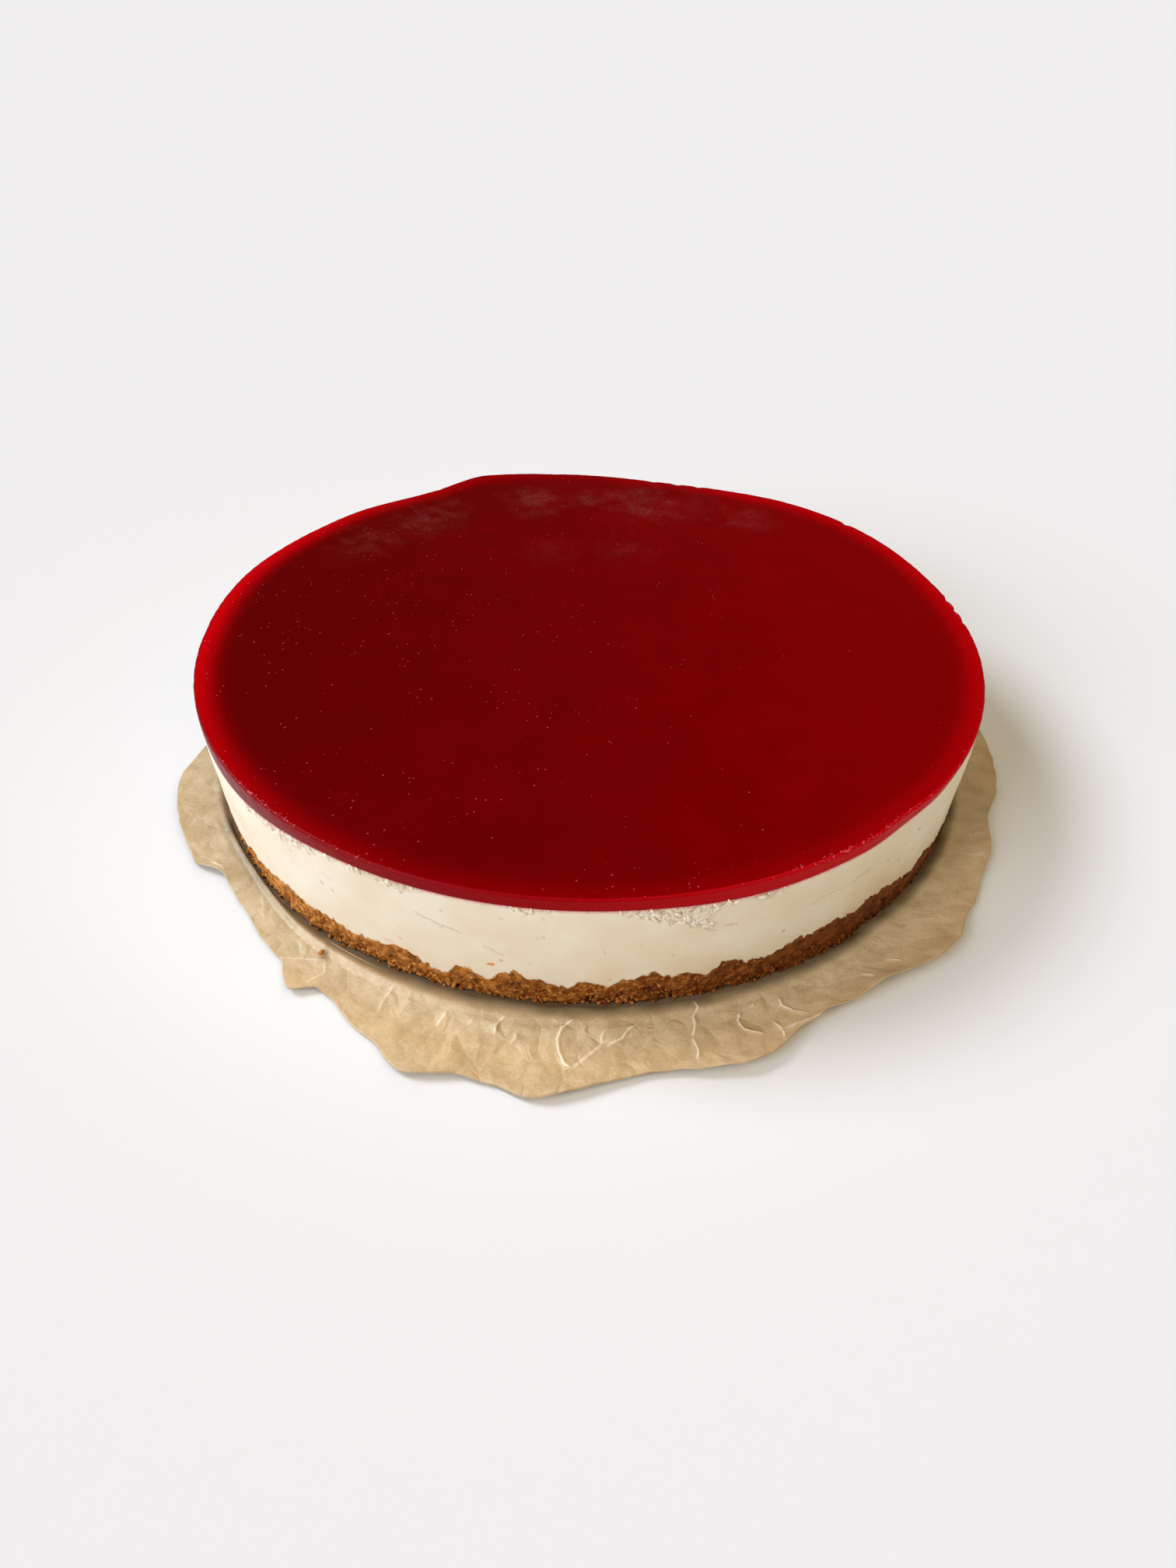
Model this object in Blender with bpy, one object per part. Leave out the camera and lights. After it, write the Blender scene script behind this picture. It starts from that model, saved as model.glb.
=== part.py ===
"""A round set cheesecake on its trimmed baking paper, at real size in metres, +Z up.

Four pieces lie one on another: baking paper, a crumbled biscuit base, a cream filling and a
layer of red fruit jelly. Each piece is grown ring by ring round the cake's axis, so the two
faces of a joint between layers have the same rings. An azimuth is in degrees, anticlockwise
from +X, and the cake's front is at 270. The underside of the paper is at z = 0.
"""

import math
import random

import bmesh
import bpy
from mathutils import Vector, noise

MM = 0.001

# Driving sizes of the cake, from a 26 cm springform tin
CAKE_RADIUS = 130.0 * MM
CAKE_TOP = 43.6 * MM
WALL_TAPER = 2.7 * MM

# The jelly, whose top rises to a low lip along its rounded edge
JELLY_DEPTH = 3.9 * MM
JELLY_LIP_WIDTH = 8.0 * MM
JELLY_LIP_HEIGHT = 0.4 * MM
JELLY_EDGE_ROUND = 0.6 * MM

# The biscuit base, whose joint with the cream is level but for a band along the side
BASE_DEPTH = 9.8 * MM
JOINT_BAND = 14.0 * MM
JOINT_SHOULDER = 4.0 * MM
JOINT_SHOULDER_SHARE = 0.55

# The paper
PAPER_THICKNESS = 0.4 * MM
PAPER_RADIUS = 143.4 * MM
PAPER_REST_LIFT = 0.5 * MM

# Uneven relief: the size of its bumps, and how far they stand out
CRAG_BUMP = 2.6 * MM
CRAG_RELIEF = 1.0 * MM
FOOT_BUMP = 9.0 * MM
FOOT_RELIEF = 0.9 * MM
FOOT_INSET = 0.6 * MM
FOOT_RAGGED = 0.8 * MM
FOOT_UNDERCUT = 4.0 * MM
CRUMB_LINE_BUMP = 3.0 * MM
CRUMB_LINE_RELIEF = 0.35 * MM
CREAM_BUMP = 14.0 * MM
CREAM_RELIEF = 0.4 * MM
TEAR_BUMP = 6.0 * MM
TEAR_RELIEF = 0.5 * MM
CRINKLE_BUMP = 7.0 * MM
CRINKLE_RELIEF = 0.25 * MM

# Clearance between pieces that lie on each other
GAP = 0.3 * MM

# Heights that follow from the sizes above
BASE_BOTTOM = PAPER_THICKNESS + GAP
JELLY_BOTTOM = CAKE_TOP - JELLY_DEPTH
CREAM_TOP = JELLY_BOTTOM - GAP

# Steps round the axis
JELLY_STEPS = 120
CAKE_STEPS = 180
PAPER_STEPS = 144

# Humps: azimuth, reach before it and after it in degrees, and size in mm.
# Where the tin's ring was out of round
RIM_BULGES = (
    (38, 26, 26, 2.2),
    (76, 28, 26, -3.8),
    (125, 14, 14, -1.8),
    (164, 20, 20, 1.2),
    (312, 8, 8, -0.8),
)
# The corner left by the tin's closure, and how far the jelly climbs or sinks there
RIM_CORNER = (111, 14, 9, 3.6)
RIM_RISES = (
    (76, 26, 24, -0.5),
    (111, 14, 9, 0.5),
    (125, 12, 12, -0.25),
)

# Where the cream rises or sinks under the jelly at the side
JELLY_LINE_SWELLS = (
    (218, 20, 24, -2.6),
    (290, 16, 14, -0.8),
    (328, 20, 24, 2.9),
)

# Tongues of crumb that stand up into the cream, and bays where the cream runs down
CRUMB_TONGUES = (
    (215, 6, 5, -1.6),
    (226, 4, 4, 1.0),
    (240, 4, 3, -1.0),
    (246, 2.2, 2.2, 2.4),
    (252, 4, 4, -4.4),
    (258, 2.4, 2.4, -2.4),
    (262, 2.2, 2.2, 4.2),
    (267.5, 3, 3, -2.9),
    (272.5, 2.2, 2.2, -2.4),
    (278, 2.2, 2.2, 2.2),
    (284.5, 3, 2.4, -1.6),
    (288, 2.4, 2.4, 2.6),
    (292.5, 2.2, 2.2, -1.2),
    (296, 3, 3, 1.2),
    (302.5, 3, 3, 1.4),
    (309, 2.4, 2.4, 2.2),
    (313, 3, 3, 1.6),
    (322, 2.6, 3, 3.2),
)
CRUMB_TILT = 1.9 * MM
CRUMB_HIGH_SIDE = 320

# Torn lobes and bays of the paper's edge
PAPER_LOBES = (
    (184, 8, 10, -6.5),
    (200, 12, 10, 1.0),
    (216, 5, 22, -6.0),
    (236.6, 4.5, 2.6, 5.5),
    (247, 6, 7, 2.5),
    (252.5, 5, 6, 5.5),
    (263, 28, 30, 12.5),
    (265.3, 4, 9, 3.0),
    (287.5, 13, 10, 9.0),
    (304, 12, 12, 5.5),
    (315, 10, 17, 6.6),
    (340, 6, 6, -2.4),
    (356, 14, 14, 1.0),
)
# Where the paper's edge stands up off the table
PAPER_LIFTS = (
    (200, 12, 12, 0.8),
    (214, 4, 5, 2.0),
    (237, 4, 4, 1.2),
    (254, 6, 10, 1.2),
    (268, 6, 12, 1.6),
    (286, 12, 14, 3.0),
    (306, 18, 22, 4.8),
    (342, 22, 18, 2.2),
)
# The fold that the tin's ring pressed into the paper, and how far it stands off the cake's foot
FOLD_START = 1.0 * MM
FOLD_OFFSET = 3.6 * MM
FOLD_WIDTH = 1.8 * MM
FOLD_HEIGHT = 0.5 * MM
FOLD_RISES = ((236, 44, 32, 1.3),)
FOLD_SHIFTS = ((256, 40, 60, 2.4),)

# The stretches that lie behind the cake are as uneven as the front, by a seeded rule
BACK_OF_BASE = (326, 572)
BACK_OF_PAPER = (372, 536)


def swell(azimuth, centre, before, after):
    """A smooth hump, 1 at its centre and 0 where its reaches end."""
    away = (azimuth - centre + 180.0) % 360.0 - 180.0
    reach = before if away < 0.0 else after
    left = max(0.0, 1.0 - abs(away) / reach)
    return left * left * (3.0 - 2.0 * left)


def corner(azimuth, centre, before, after, size):
    """A pointed hump, for a crease that is not rounded."""
    away = (azimuth - centre + 180.0) % 360.0 - 180.0
    reach = before if away < 0.0 else after
    return size * MM * max(0.0, 1.0 - abs(away) / reach)


def humps(azimuth, table):
    """The height of all the humps of a table at one azimuth, in metres."""
    return sum(size * MM * swell(azimuth, centre, before, after) for centre, before, after, size in table)


def seeded_humps(seed, stretch, spacing, reach, size):
    """Humps scattered along a stretch of azimuths."""
    draw = random.Random(seed)
    table = []
    azimuth = stretch[0] + reach
    while azimuth < stretch[1] - reach:
        width = reach * draw.uniform(0.6, 1.0)
        table.append((azimuth, width, width, draw.uniform(-size, size)))
        azimuth += spacing * draw.uniform(0.6, 1.4)
    return tuple(table)


BACK_TONGUES = seeded_humps(3, BACK_OF_BASE, 5.0, 3.5, 2.6)
BACK_LOBES = seeded_humps(8, BACK_OF_PAPER, 9.0, 11.0, 5.5)
BACK_LIFTS = seeded_humps(5, BACK_OF_PAPER, 14.0, 13.0, 2.0)


def rough(azimuth, radius, height, bump, seed):
    """Uneven relief from about -1 to 1, with bumps of the given size in metres."""
    turn = math.radians(azimuth)
    spot = Vector((radius * math.cos(turn), radius * math.sin(turn), height))
    return noise.noise(spot / bump + Vector((seed, seed, seed)))


def rim_radius(azimuth):
    """The cake's outline at its top edge."""
    return CAKE_RADIUS + humps(azimuth, RIM_BULGES) + corner(azimuth, *RIM_CORNER)


def wall_radius(azimuth, height):
    """The cake's side, which leans in a little towards the foot."""
    depth = 1.0 - height / CAKE_TOP
    return rim_radius(azimuth) - WALL_TAPER * depth ** 1.5


def foot_radius(azimuth):
    """The cake's outline where it stands on the paper."""
    return rim_radius(azimuth) - WALL_TAPER


def crumb_line(azimuth):
    """The height at which biscuit crumb gives way to cream on the cake's side."""
    tilt = CRUMB_TILT * math.cos(math.radians(azimuth - CRUMB_HIGH_SIDE))
    tongues = humps(azimuth, CRUMB_TONGUES) + humps(azimuth, BACK_TONGUES)
    grain = CRUMB_LINE_RELIEF * rough(azimuth, CAKE_RADIUS, 0.0, CRUMB_LINE_BUMP, 7.3)
    return PAPER_THICKNESS + BASE_DEPTH + tilt + tongues + grain


def jelly_line(azimuth):
    """The height at which cream gives way to jelly on the cake's side."""
    return JELLY_BOTTOM + humps(azimuth, JELLY_LINE_SWELLS)


def paper_reach(azimuth):
    """The outline of the trimmed paper."""
    lobes = humps(azimuth, PAPER_LOBES) + humps(azimuth, BACK_LOBES)
    tear = TEAR_RELIEF * rough(azimuth, PAPER_RADIUS, 0.0, TEAR_BUMP, 2.1)
    return PAPER_RADIUS + lobes + tear


def fold_radius(azimuth):
    """Where the crest of the paper's fold runs."""
    return foot_radius(azimuth) + FOLD_OFFSET + humps(azimuth, FOLD_SHIFTS)


def paper_lift(azimuth):
    """How high the paper's edge stands over the table."""
    lifts = humps(azimuth, PAPER_LIFTS) + abs(humps(azimuth, BACK_LIFTS))
    return PAPER_REST_LIFT + lifts


def place(edges, ring, steps):
    """Move a loop of edges onto a ring, which gives radius and height for an azimuth."""
    step = 360.0 / steps
    for vert in {vert for edge in edges for vert in edge.verts}:
        turn = math.degrees(math.atan2(vert.co.y, vert.co.x))
        azimuth = round(turn / step) * step % 360.0
        radius, height = ring(azimuth)
        turn = math.radians(azimuth)
        vert.co = (radius * math.cos(turn), radius * math.sin(turn), height)


def start_disc(ring, steps):
    """A flat disc of one face, whose edge lies on the first ring."""
    mesh = bmesh.new()
    bmesh.ops.create_circle(mesh, cap_ends=True, segments=steps, radius=CAKE_RADIUS)
    place(mesh.edges, ring, steps)
    return mesh, list(mesh.edges)


def grow(mesh, edges, rings, steps):
    """Extrude the open edge of a surface from ring to ring."""
    for ring in rings:
        grown = bmesh.ops.extrude_edge_only(mesh, edges=edges)["geom"]
        edges = [item for item in grown if isinstance(item, bmesh.types.BMEdge) and item.is_boundary]
        place(edges, ring, steps)
    return edges


def split_quads(mesh):
    """Cut each quad along its first diagonal, the same on both faces of a joint or a sheet."""
    quads = [face for face in mesh.faces if len(face.verts) == 4]
    bmesh.ops.triangulate(mesh, faces=quads, quad_method="FIXED")


def make_material(name, colour, roughness):
    """A plain surface of one colour, given as linear red, green and blue."""
    material = bpy.data.materials.new(name)
    material.use_nodes = True
    shader = material.node_tree.nodes["Principled BSDF"]
    shader.inputs["Base Color"].default_value = (*colour, 1.0)
    shader.inputs["Roughness"].default_value = roughness
    shader.inputs["Metallic"].default_value = 0.0
    return material


def close(mesh, edges):
    """Fill the last open edge with one flat face and turn all faces outward."""
    bmesh.ops.contextual_create(mesh, geom=edges)
    bmesh.ops.recalc_face_normals(mesh, faces=mesh.faces)


def make_object(name, mesh, material, whole):
    """Put a finished surface in the scene under its own name."""
    data = bpy.data.meshes.new(name)
    mesh.to_mesh(data)
    mesh.free()
    data.materials.append(material)
    data.shade_smooth()
    data.set_sharp_from_angle(angle=math.radians(50.0))
    piece = bpy.data.objects.new(name, data)
    piece.parent = whole
    bpy.context.collection.objects.link(piece)
    return piece


def crumb_joint_rings(rise):
    """Rings of the joint between crumb and cream, from its flat middle out to the side."""
    level = PAPER_THICKNESS + BASE_DEPTH

    def middle(azimuth):
        return foot_radius(azimuth) - JOINT_BAND, level + rise

    def shoulder(azimuth):
        height = level + JOINT_SHOULDER_SHARE * (crumb_line(azimuth) - level)
        return foot_radius(azimuth) - JOINT_SHOULDER, height + rise

    def side(azimuth):
        height = crumb_line(azimuth)
        return wall_radius(azimuth, height), height + rise

    return middle, shoulder, side


def make_biscuit_base(whole):
    """Pressed biscuit crumb, craggy on its side and crumbled away along its foot."""
    middle, shoulder, side = crumb_joint_rings(0.0)
    mesh, edges = start_disc(middle, CAKE_STEPS)
    edges = grow(mesh, edges, (shoulder, side), CAKE_STEPS)
    split_quads(mesh)

    def crag(share):
        def ring(azimuth):
            height = BASE_BOTTOM + share * (crumb_line(azimuth) - BASE_BOTTOM)
            craggy = CRAG_RELIEF * rough(azimuth, CAKE_RADIUS, height, CRAG_BUMP, 4.7)
            return wall_radius(azimuth, height) + craggy, height
        return ring

    def foot(azimuth):
        ragged = FOOT_RAGGED * (1.0 + rough(azimuth, CAKE_RADIUS, 0.0, CRAG_BUMP, 9.1))
        crumbled = FOOT_RELIEF * rough(azimuth, CAKE_RADIUS, 0.0, FOOT_BUMP, 5.9)
        return foot_radius(azimuth) - FOOT_INSET + crumbled, BASE_BOTTOM + ragged

    def underside(azimuth):
        return foot_radius(azimuth) - FOOT_UNDERCUT, BASE_BOTTOM

    edges = grow(mesh, edges, (crag(0.8), crag(0.52), crag(0.25), foot, underside), CAKE_STEPS)
    close(mesh, edges)
    crumb = make_material("biscuit crumb", (0.23, 0.085, 0.02), 0.9)
    return make_object("biscuit_base", mesh, crumb, whole)


def make_cream_filling(whole):
    """Set cream cheese filling, smooth where the tin was peeled off it."""
    middle, shoulder, side = crumb_joint_rings(GAP)
    mesh, edges = start_disc(middle, CAKE_STEPS)
    edges = grow(mesh, edges, (shoulder, side), CAKE_STEPS)
    split_quads(mesh)

    def band(share, relief):
        def ring(azimuth):
            low = crumb_line(azimuth) + GAP
            height = low + share * (jelly_line(azimuth) - GAP - low)
            uneven = relief * rough(azimuth, CAKE_RADIUS, height, CREAM_BUMP, 3.1)
            return wall_radius(azimuth, height) + uneven, height
        return ring

    def top(azimuth):
        return rim_radius(azimuth) - JELLY_LIP_WIDTH, CREAM_TOP

    bands = (band(0.15, CREAM_RELIEF), band(0.5, CREAM_RELIEF), band(0.85, CREAM_RELIEF), band(1.0, 0.0))
    edges = grow(mesh, edges, (*bands, top), CAKE_STEPS)
    close(mesh, edges)
    cream = make_material("set cream filling", (0.78, 0.69, 0.51), 0.55)
    return make_object("cream_filling", mesh, cream, whole)


def make_fruit_jelly(whole):
    """Red fruit jelly: a level top with a low lip where it clung to the tin."""
    def middle(azimuth):
        return rim_radius(azimuth) - JELLY_LIP_WIDTH, JELLY_BOTTOM

    def lower_edge(azimuth):
        height = jelly_line(azimuth)
        return wall_radius(azimuth, height), height

    def top_edge(inward, downward):
        def ring(azimuth):
            return rim_radius(azimuth) - inward, CAKE_TOP + humps(azimuth, RIM_RISES) - downward
        return ring

    def level_top(azimuth):
        return rim_radius(azimuth) - JELLY_LIP_WIDTH, CAKE_TOP - JELLY_LIP_HEIGHT

    mesh, edges = start_disc(middle, JELLY_STEPS)
    rounding = (
        top_edge(0.0, JELLY_EDGE_ROUND),
        top_edge(0.3 * JELLY_EDGE_ROUND, 0.3 * JELLY_EDGE_ROUND),
        top_edge(JELLY_EDGE_ROUND, 0.0),
        top_edge(0.4 * JELLY_LIP_WIDTH, 0.4 * JELLY_LIP_HEIGHT),
    )
    edges = grow(mesh, edges, (lower_edge, *rounding, level_top), JELLY_STEPS)
    close(mesh, edges)
    jelly = make_material("red fruit jelly", (0.16, 0.002, 0.004), 0.2)
    return make_object("fruit_jelly", mesh, jelly, whole)


def make_baking_paper(whole):
    """Brown baking paper, flat under the cake, folded up round its foot and lifting at the edge."""
    def flat(azimuth):
        return foot_radius(azimuth) + FOLD_START, 0.0

    def fold(share):
        def ring(azimuth):
            crest = FOLD_HEIGHT + humps(azimuth, FOLD_RISES)
            inner = foot_radius(azimuth) + FOLD_START
            return inner + share * (fold_radius(azimuth) - inner), share * crest
        return ring

    def skirt(share):
        def ring(azimuth):
            inner = fold_radius(azimuth) + FOLD_WIDTH
            radius = inner + share * (paper_reach(azimuth) - inner)
            crinkle = CRINKLE_RELIEF * (1.0 + rough(azimuth, radius, 0.0, CRINKLE_BUMP, 6.1))
            return radius, crinkle + share ** 1.6 * paper_lift(azimuth)
        return ring

    mesh, edges = start_disc(flat, PAPER_STEPS)
    grow(mesh, edges, (fold(0.5), fold(1.0), skirt(0.0), skirt(0.35), skirt(0.7), skirt(1.0)), PAPER_STEPS)
    split_quads(mesh)
    parchment = make_material("brown baking paper", (0.56, 0.42, 0.25), 0.6)
    paper = make_object("baking_paper", mesh, parchment, whole)
    thickness = paper.modifiers.new("thickness", "SOLIDIFY")
    thickness.thickness = PAPER_THICKNESS
    thickness.offset = 1.0
    return paper


def clear_scene():
    for item in list(bpy.data.objects):
        bpy.data.objects.remove(item, do_unlink=True)


def build():
    clear_scene()
    whole = bpy.data.objects.new("cheesecake", None)
    bpy.context.collection.objects.link(whole)
    make_baking_paper(whole)
    make_biscuit_base(whole)
    make_cream_filling(whole)
    make_fruit_jelly(whole)


build()
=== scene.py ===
"""Looks of a round set cheesecake on its trimmed baking paper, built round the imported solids.

An azimuth is in degrees, anticlockwise from +X, and the cake's front is at 270. Lengths in the
tables are in millimetres, and everything else is in metres.
"""

import math
import random
from functools import lru_cache, partial

import bmesh
import bpy
import numpy as np
from mathutils import Matrix, Vector, noise


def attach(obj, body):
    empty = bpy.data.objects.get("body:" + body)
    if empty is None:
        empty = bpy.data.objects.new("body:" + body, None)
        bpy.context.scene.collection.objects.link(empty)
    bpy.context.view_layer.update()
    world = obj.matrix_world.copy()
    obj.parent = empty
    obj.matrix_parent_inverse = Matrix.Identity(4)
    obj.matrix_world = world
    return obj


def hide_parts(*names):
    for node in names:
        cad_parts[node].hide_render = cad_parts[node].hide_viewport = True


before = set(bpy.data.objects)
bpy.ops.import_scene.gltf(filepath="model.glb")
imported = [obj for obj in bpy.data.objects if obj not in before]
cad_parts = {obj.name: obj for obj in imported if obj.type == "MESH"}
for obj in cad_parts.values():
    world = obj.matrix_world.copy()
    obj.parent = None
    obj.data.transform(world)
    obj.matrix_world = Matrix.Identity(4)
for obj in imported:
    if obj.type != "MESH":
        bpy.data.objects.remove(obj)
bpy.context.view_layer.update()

# Baking paper
# Brown greaseproof paper, calendered smooth and silky. It lies flat under the cake, keeps the fold
# that the tin's ring pressed into it, and was trimmed by hand, so it is wrinkled and lifts at its edge.
MM = 0.001
CAKE_RADIUS = 130.0 * MM
WALL_TAPER = 2.7 * MM
PAPER_RADIUS = 143.4 * MM
PAPER_REST_LIFT = 0.5 * MM
PAPER_SHEET = 0.15 * MM
TEAR_BUMP = 6.0 * MM
TEAR_RELIEF = 0.5 * MM
PAPER_STEPS = 1920

# Where the tin's ring was out of round: azimuth, reach before it and after it, size
RIM_BULGES = (
    (38, 26, 26, 2.2), (76, 28, 26, -3.8), (125, 14, 14, -1.8), (164, 20, 20, 1.2), (312, 8, 8, -0.8),
)
# Where the ring had a corner, which is pointed and not rounded
RIM_CORNER = (111, 14, 9)
RIM_CORNER_SIZE = 3.6 * MM

# Torn lobes and bays of the paper's edge, and where it stands up off the table
PAPER_LOBES = (
    (184, 8, 10, -6.5), (200, 12, 10, 1.0), (216, 5, 22, -6.0), (236.6, 4.5, 2.6, 5.5),
    (247, 6, 7, 2.5), (252.5, 5, 6, 5.5), (263, 28, 30, 12.5), (265.3, 4, 9, 3.0), (287.5, 13, 10, 9.0),
    (295, 3.5, 3, 1.2), (304, 12, 12, 5.5), (304, 5, 5, -2.4), (315, 10, 17, 6.6), (320, 3.5, 4, -1.5),
    (331.7, 5, 6, 1.0), (340, 6, 6, -2.4), (356, 14, 14, 1.0),
)
PAPER_LIFTS = (
    (200, 12, 12, 0.8), (214, 4, 5, 2.0), (237, 4, 4, 1.2), (254, 6, 10, 1.2), (268, 6, 12, 1.6),
    (286, 12, 14, 3.0), (306, 18, 22, 4.8), (342, 22, 18, 2.2),
)
FOLD_START = 1.0 * MM
FOLD_OFFSET = 3.6 * MM
FOLD_WIDTH = 1.8 * MM
FOLD_HEIGHT = 0.5 * MM
FOLD_RISES = ((236, 44, 32, 1.3),)
FOLD_SHIFTS = ((256, 40, 60, 2.4), (216, 22, 18, -2.2))
SKIRT_REST = 0.25 * MM
SKIRT_CURVE = 1.6
SKIRT_RINGS = 28
BACK_OF_PAPER = (372, 536)

# Sharp creases: their course as azimuth and radius, then height and half width
CREASES = (
    (((246.5, 132.5), (246.4, 138), (246.9, 143)), 0.2, 0.6),
    (((253.9, 134.5), (253.9, 137.2), (253.6, 141.5)), 0.3, 0.5),
    (((257.3, 135.6), (256.9, 139.2)), 0.3, 0.55),
    (((260.8, 133.5), (260.5, 134.4), (260.0, 137.5), (260.2, 140.4)), 0.45, 0.5),
    (((262.3, 137.9), (262.5, 140.4), (262.0, 143.1)), 0.2, 0.6),
    (((266, 132), (267, 135.5)), 0.2, 0.6),
    (
        ((268.8, 132.6), (267.4, 135.9), (267, 139.8), (267.3, 144.1), (267.9, 147.7), (268.8, 149.5)),
        0.6, 0.6,
    ),
    (((268.8, 149.5), (270.1, 145.7), (271.7, 141.1), (272.8, 138.9)), 0.22, 0.8),
    (((272.3, 142), (274.1, 139.1), (275.1, 136), (276, 134.9)), 0.3, 0.6),
    (((270.3, 133.8), (269.8, 137)), 0.2, 0.6),
    (((272.3, 135.7), (271.8, 138.9), (271.8, 141.1)), 0.4, 0.5),
    (((275.3, 137.4), (274.7, 139.2)), 0.4, 0.5),
    (((277.5, 133), (276.8, 134.8)), 0.25, 0.5),
    (((283.4, 128.9), (283.5, 131.7), (282.6, 134.6), (282.4, 137.8), (281.6, 141.3)), 0.45, 0.5),
    (((281.6, 141.3), (281.7, 146.4), (281.3, 149.6)), 0.4, 0.5),
    (((288, 136.1), (287.2, 139.2), (287.3, 142.3), (289.1, 146.1)), 0.6, 0.5),
    (((290.2, 134), (289.5, 136)), 0.3, 0.5),
    (((290.7, 142), (291.1, 146.3), (290.6, 149.2)), 0.4, 0.5),
    (((291.1, 146.3), (295.1, 146.5), (296.7, 147.1)), 0.2, 0.8),
    (((293.3, 134.8), (292.9, 138.3), (293.5, 141.5), (294.7, 144.5)), 0.55, 0.5),
    (((307.4, 139.9), (308.5, 144.1)), 0.45, 0.45),
    (((303.4, 139.8), (304.3, 143.6)), 0.4, 0.45),
    (((331.2, 134.9), (332.3, 144.8)), 0.12, 1.2),
    (((232.3, 142.2), (236.7, 135.2)), 0.14, 0.6),
    (((236.7, 135.2), (238.1, 138.8), (237.6, 145)), 0.16, 0.6),
    (((211.7, 139), (215.3, 136.4)), 0.3, 0.9),
    (((221.5, 131.5), (226, 136.8)), 0.12, 0.8),
)
# The height that makes a crease full strength, in millimetres
FULL_CREASE = 0.5
CREASE_HEIGHT = 0.35 * MM
# How far off its line a crease is felt, in half widths of the crease
CREASE_REACH = 2.4
# Crumpled stretches: how strong the small wrinkles are round the sheet
WRINKLED = ((268, 34, 40, 0.75), (232, 16, 16, 0.35), (205, 16, 12, 0.3), (90, 80, 80, 0.45))
WRINKLED_LEAST = 0.52
WRINKLE_HEIGHT = 0.75 * MM
WRINKLE_ROLL = 11.0 * MM
WRINKLE_FOLD = 8.0 * MM
OPEN_SHEET = 6.0 * MM
# The sheet's outer band, which is calmer and more tanned, and the grease stain along the cake's foot,
# darkened further with painted contact shade
OUTER_START = 137.0 * MM
OUTER_BAND = 9.0 * MM
OUTER_CALM = 0.35
GREASE_SHADE_REACH = 5.5 * MM
GREASE_SHADE_WAVE = 9.0 * MM


def ease(share):
    """A smooth step from 0 to 1."""
    return share * share * (3.0 - 2.0 * share)


def clamp(share):
    """A share kept between 0 and 1."""
    return max(0.0, min(1.0, share))


def nearness(azimuth, centre, before, after):
    """1 at the centre of a hump, falling straight to 0 where its reaches end."""
    away = (azimuth - centre + 180.0) % 360.0 - 180.0
    return max(0.0, 1.0 - abs(away) / (before if away < 0.0 else after))


def share_at(azimuth, table):
    """The sizes of a table's humps at one azimuth, smoothed and added up."""
    return sum(size * ease(nearness(azimuth, *reach)) for *reach, size in table)


def humps(azimuth, table):
    """The height of a table's humps at one azimuth, in metres."""
    return MM * share_at(azimuth, table)


def seeded_humps(seed, stretch, spacing, reach, size):
    """Humps scattered along a stretch of azimuths."""
    draw = random.Random(seed)
    table = []
    azimuth = stretch[0] + reach
    while azimuth < stretch[1] - reach:
        width = reach * draw.uniform(0.6, 1.0)
        table.append((azimuth, width, width, draw.uniform(-size, size)))
        azimuth += spacing * draw.uniform(0.6, 1.4)
    return tuple(table)


def spot(azimuth, radius, height):
    """The place at an azimuth, a radius and a height."""
    turn = math.radians(azimuth)
    return Vector((radius * math.cos(turn), radius * math.sin(turn), height))


def rough(azimuth, radius, height, bump, seed):
    """Uneven relief from about -1 to 1, with bumps of the given size in metres."""
    return noise.noise(spot(azimuth, radius, height) / bump + Vector((seed, seed, seed)))


BACK_LOBES = seeded_humps(8, BACK_OF_PAPER, 9.0, 11.0, 5.5)
BACK_LIFTS = seeded_humps(5, BACK_OF_PAPER, 14.0, 13.0, 2.0)


@lru_cache(maxsize=None)
def rim_radius(azimuth):
    """The cake's outline at its top edge."""
    return CAKE_RADIUS + humps(azimuth, RIM_BULGES) + RIM_CORNER_SIZE * nearness(azimuth, *RIM_CORNER)


def foot_radius(azimuth):
    """The cake's outline where it stands on the paper."""
    return rim_radius(azimuth) - WALL_TAPER


@lru_cache(maxsize=None)
def paper_reach(azimuth):
    """The outline of the trimmed paper."""
    lobes = humps(azimuth, PAPER_LOBES) + humps(azimuth, BACK_LOBES)
    tear = TEAR_RELIEF * rough(azimuth, PAPER_RADIUS, 0.0, TEAR_BUMP, 2.1)
    return PAPER_RADIUS + lobes + tear


@lru_cache(maxsize=None)
def fold_radius(azimuth):
    """Where the crest of the paper's fold runs."""
    return foot_radius(azimuth) + FOLD_OFFSET + humps(azimuth, FOLD_SHIFTS)


@lru_cache(maxsize=None)
def paper_lift(azimuth):
    """How high the paper's edge stands over the table."""
    lifts = humps(azimuth, PAPER_LIFTS) + abs(humps(azimuth, BACK_LIFTS))
    return PAPER_REST_LIFT + lifts


def fold_crest(azimuth):
    """How high the crest of the paper's fold stands."""
    return FOLD_HEIGHT + humps(azimuth, FOLD_RISES)


def azimuth_of(vert, steps):
    """The step round the axis that a corner of a ring stands on, in degrees."""
    turn = math.atan2(vert.co.y, vert.co.x) / math.tau
    return round(turn * steps) % steps * 360.0 / steps


def place(edges, ring, steps):
    """Move a loop of edges onto a ring, which gives radius and height for an azimuth."""
    for vert in {vert for edge in edges for vert in edge.verts}:
        azimuth = azimuth_of(vert, steps)
        radius, height = ring(azimuth)
        vert.co = spot(azimuth, radius, height)


def start_disc(ring, steps):
    """A flat disc of one face, whose edge lies on the first ring."""
    mesh = bmesh.new()
    bmesh.ops.create_circle(mesh, cap_ends=True, segments=steps, radius=CAKE_RADIUS)
    place(mesh.edges, ring, steps)
    return mesh, list(mesh.edges)


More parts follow.
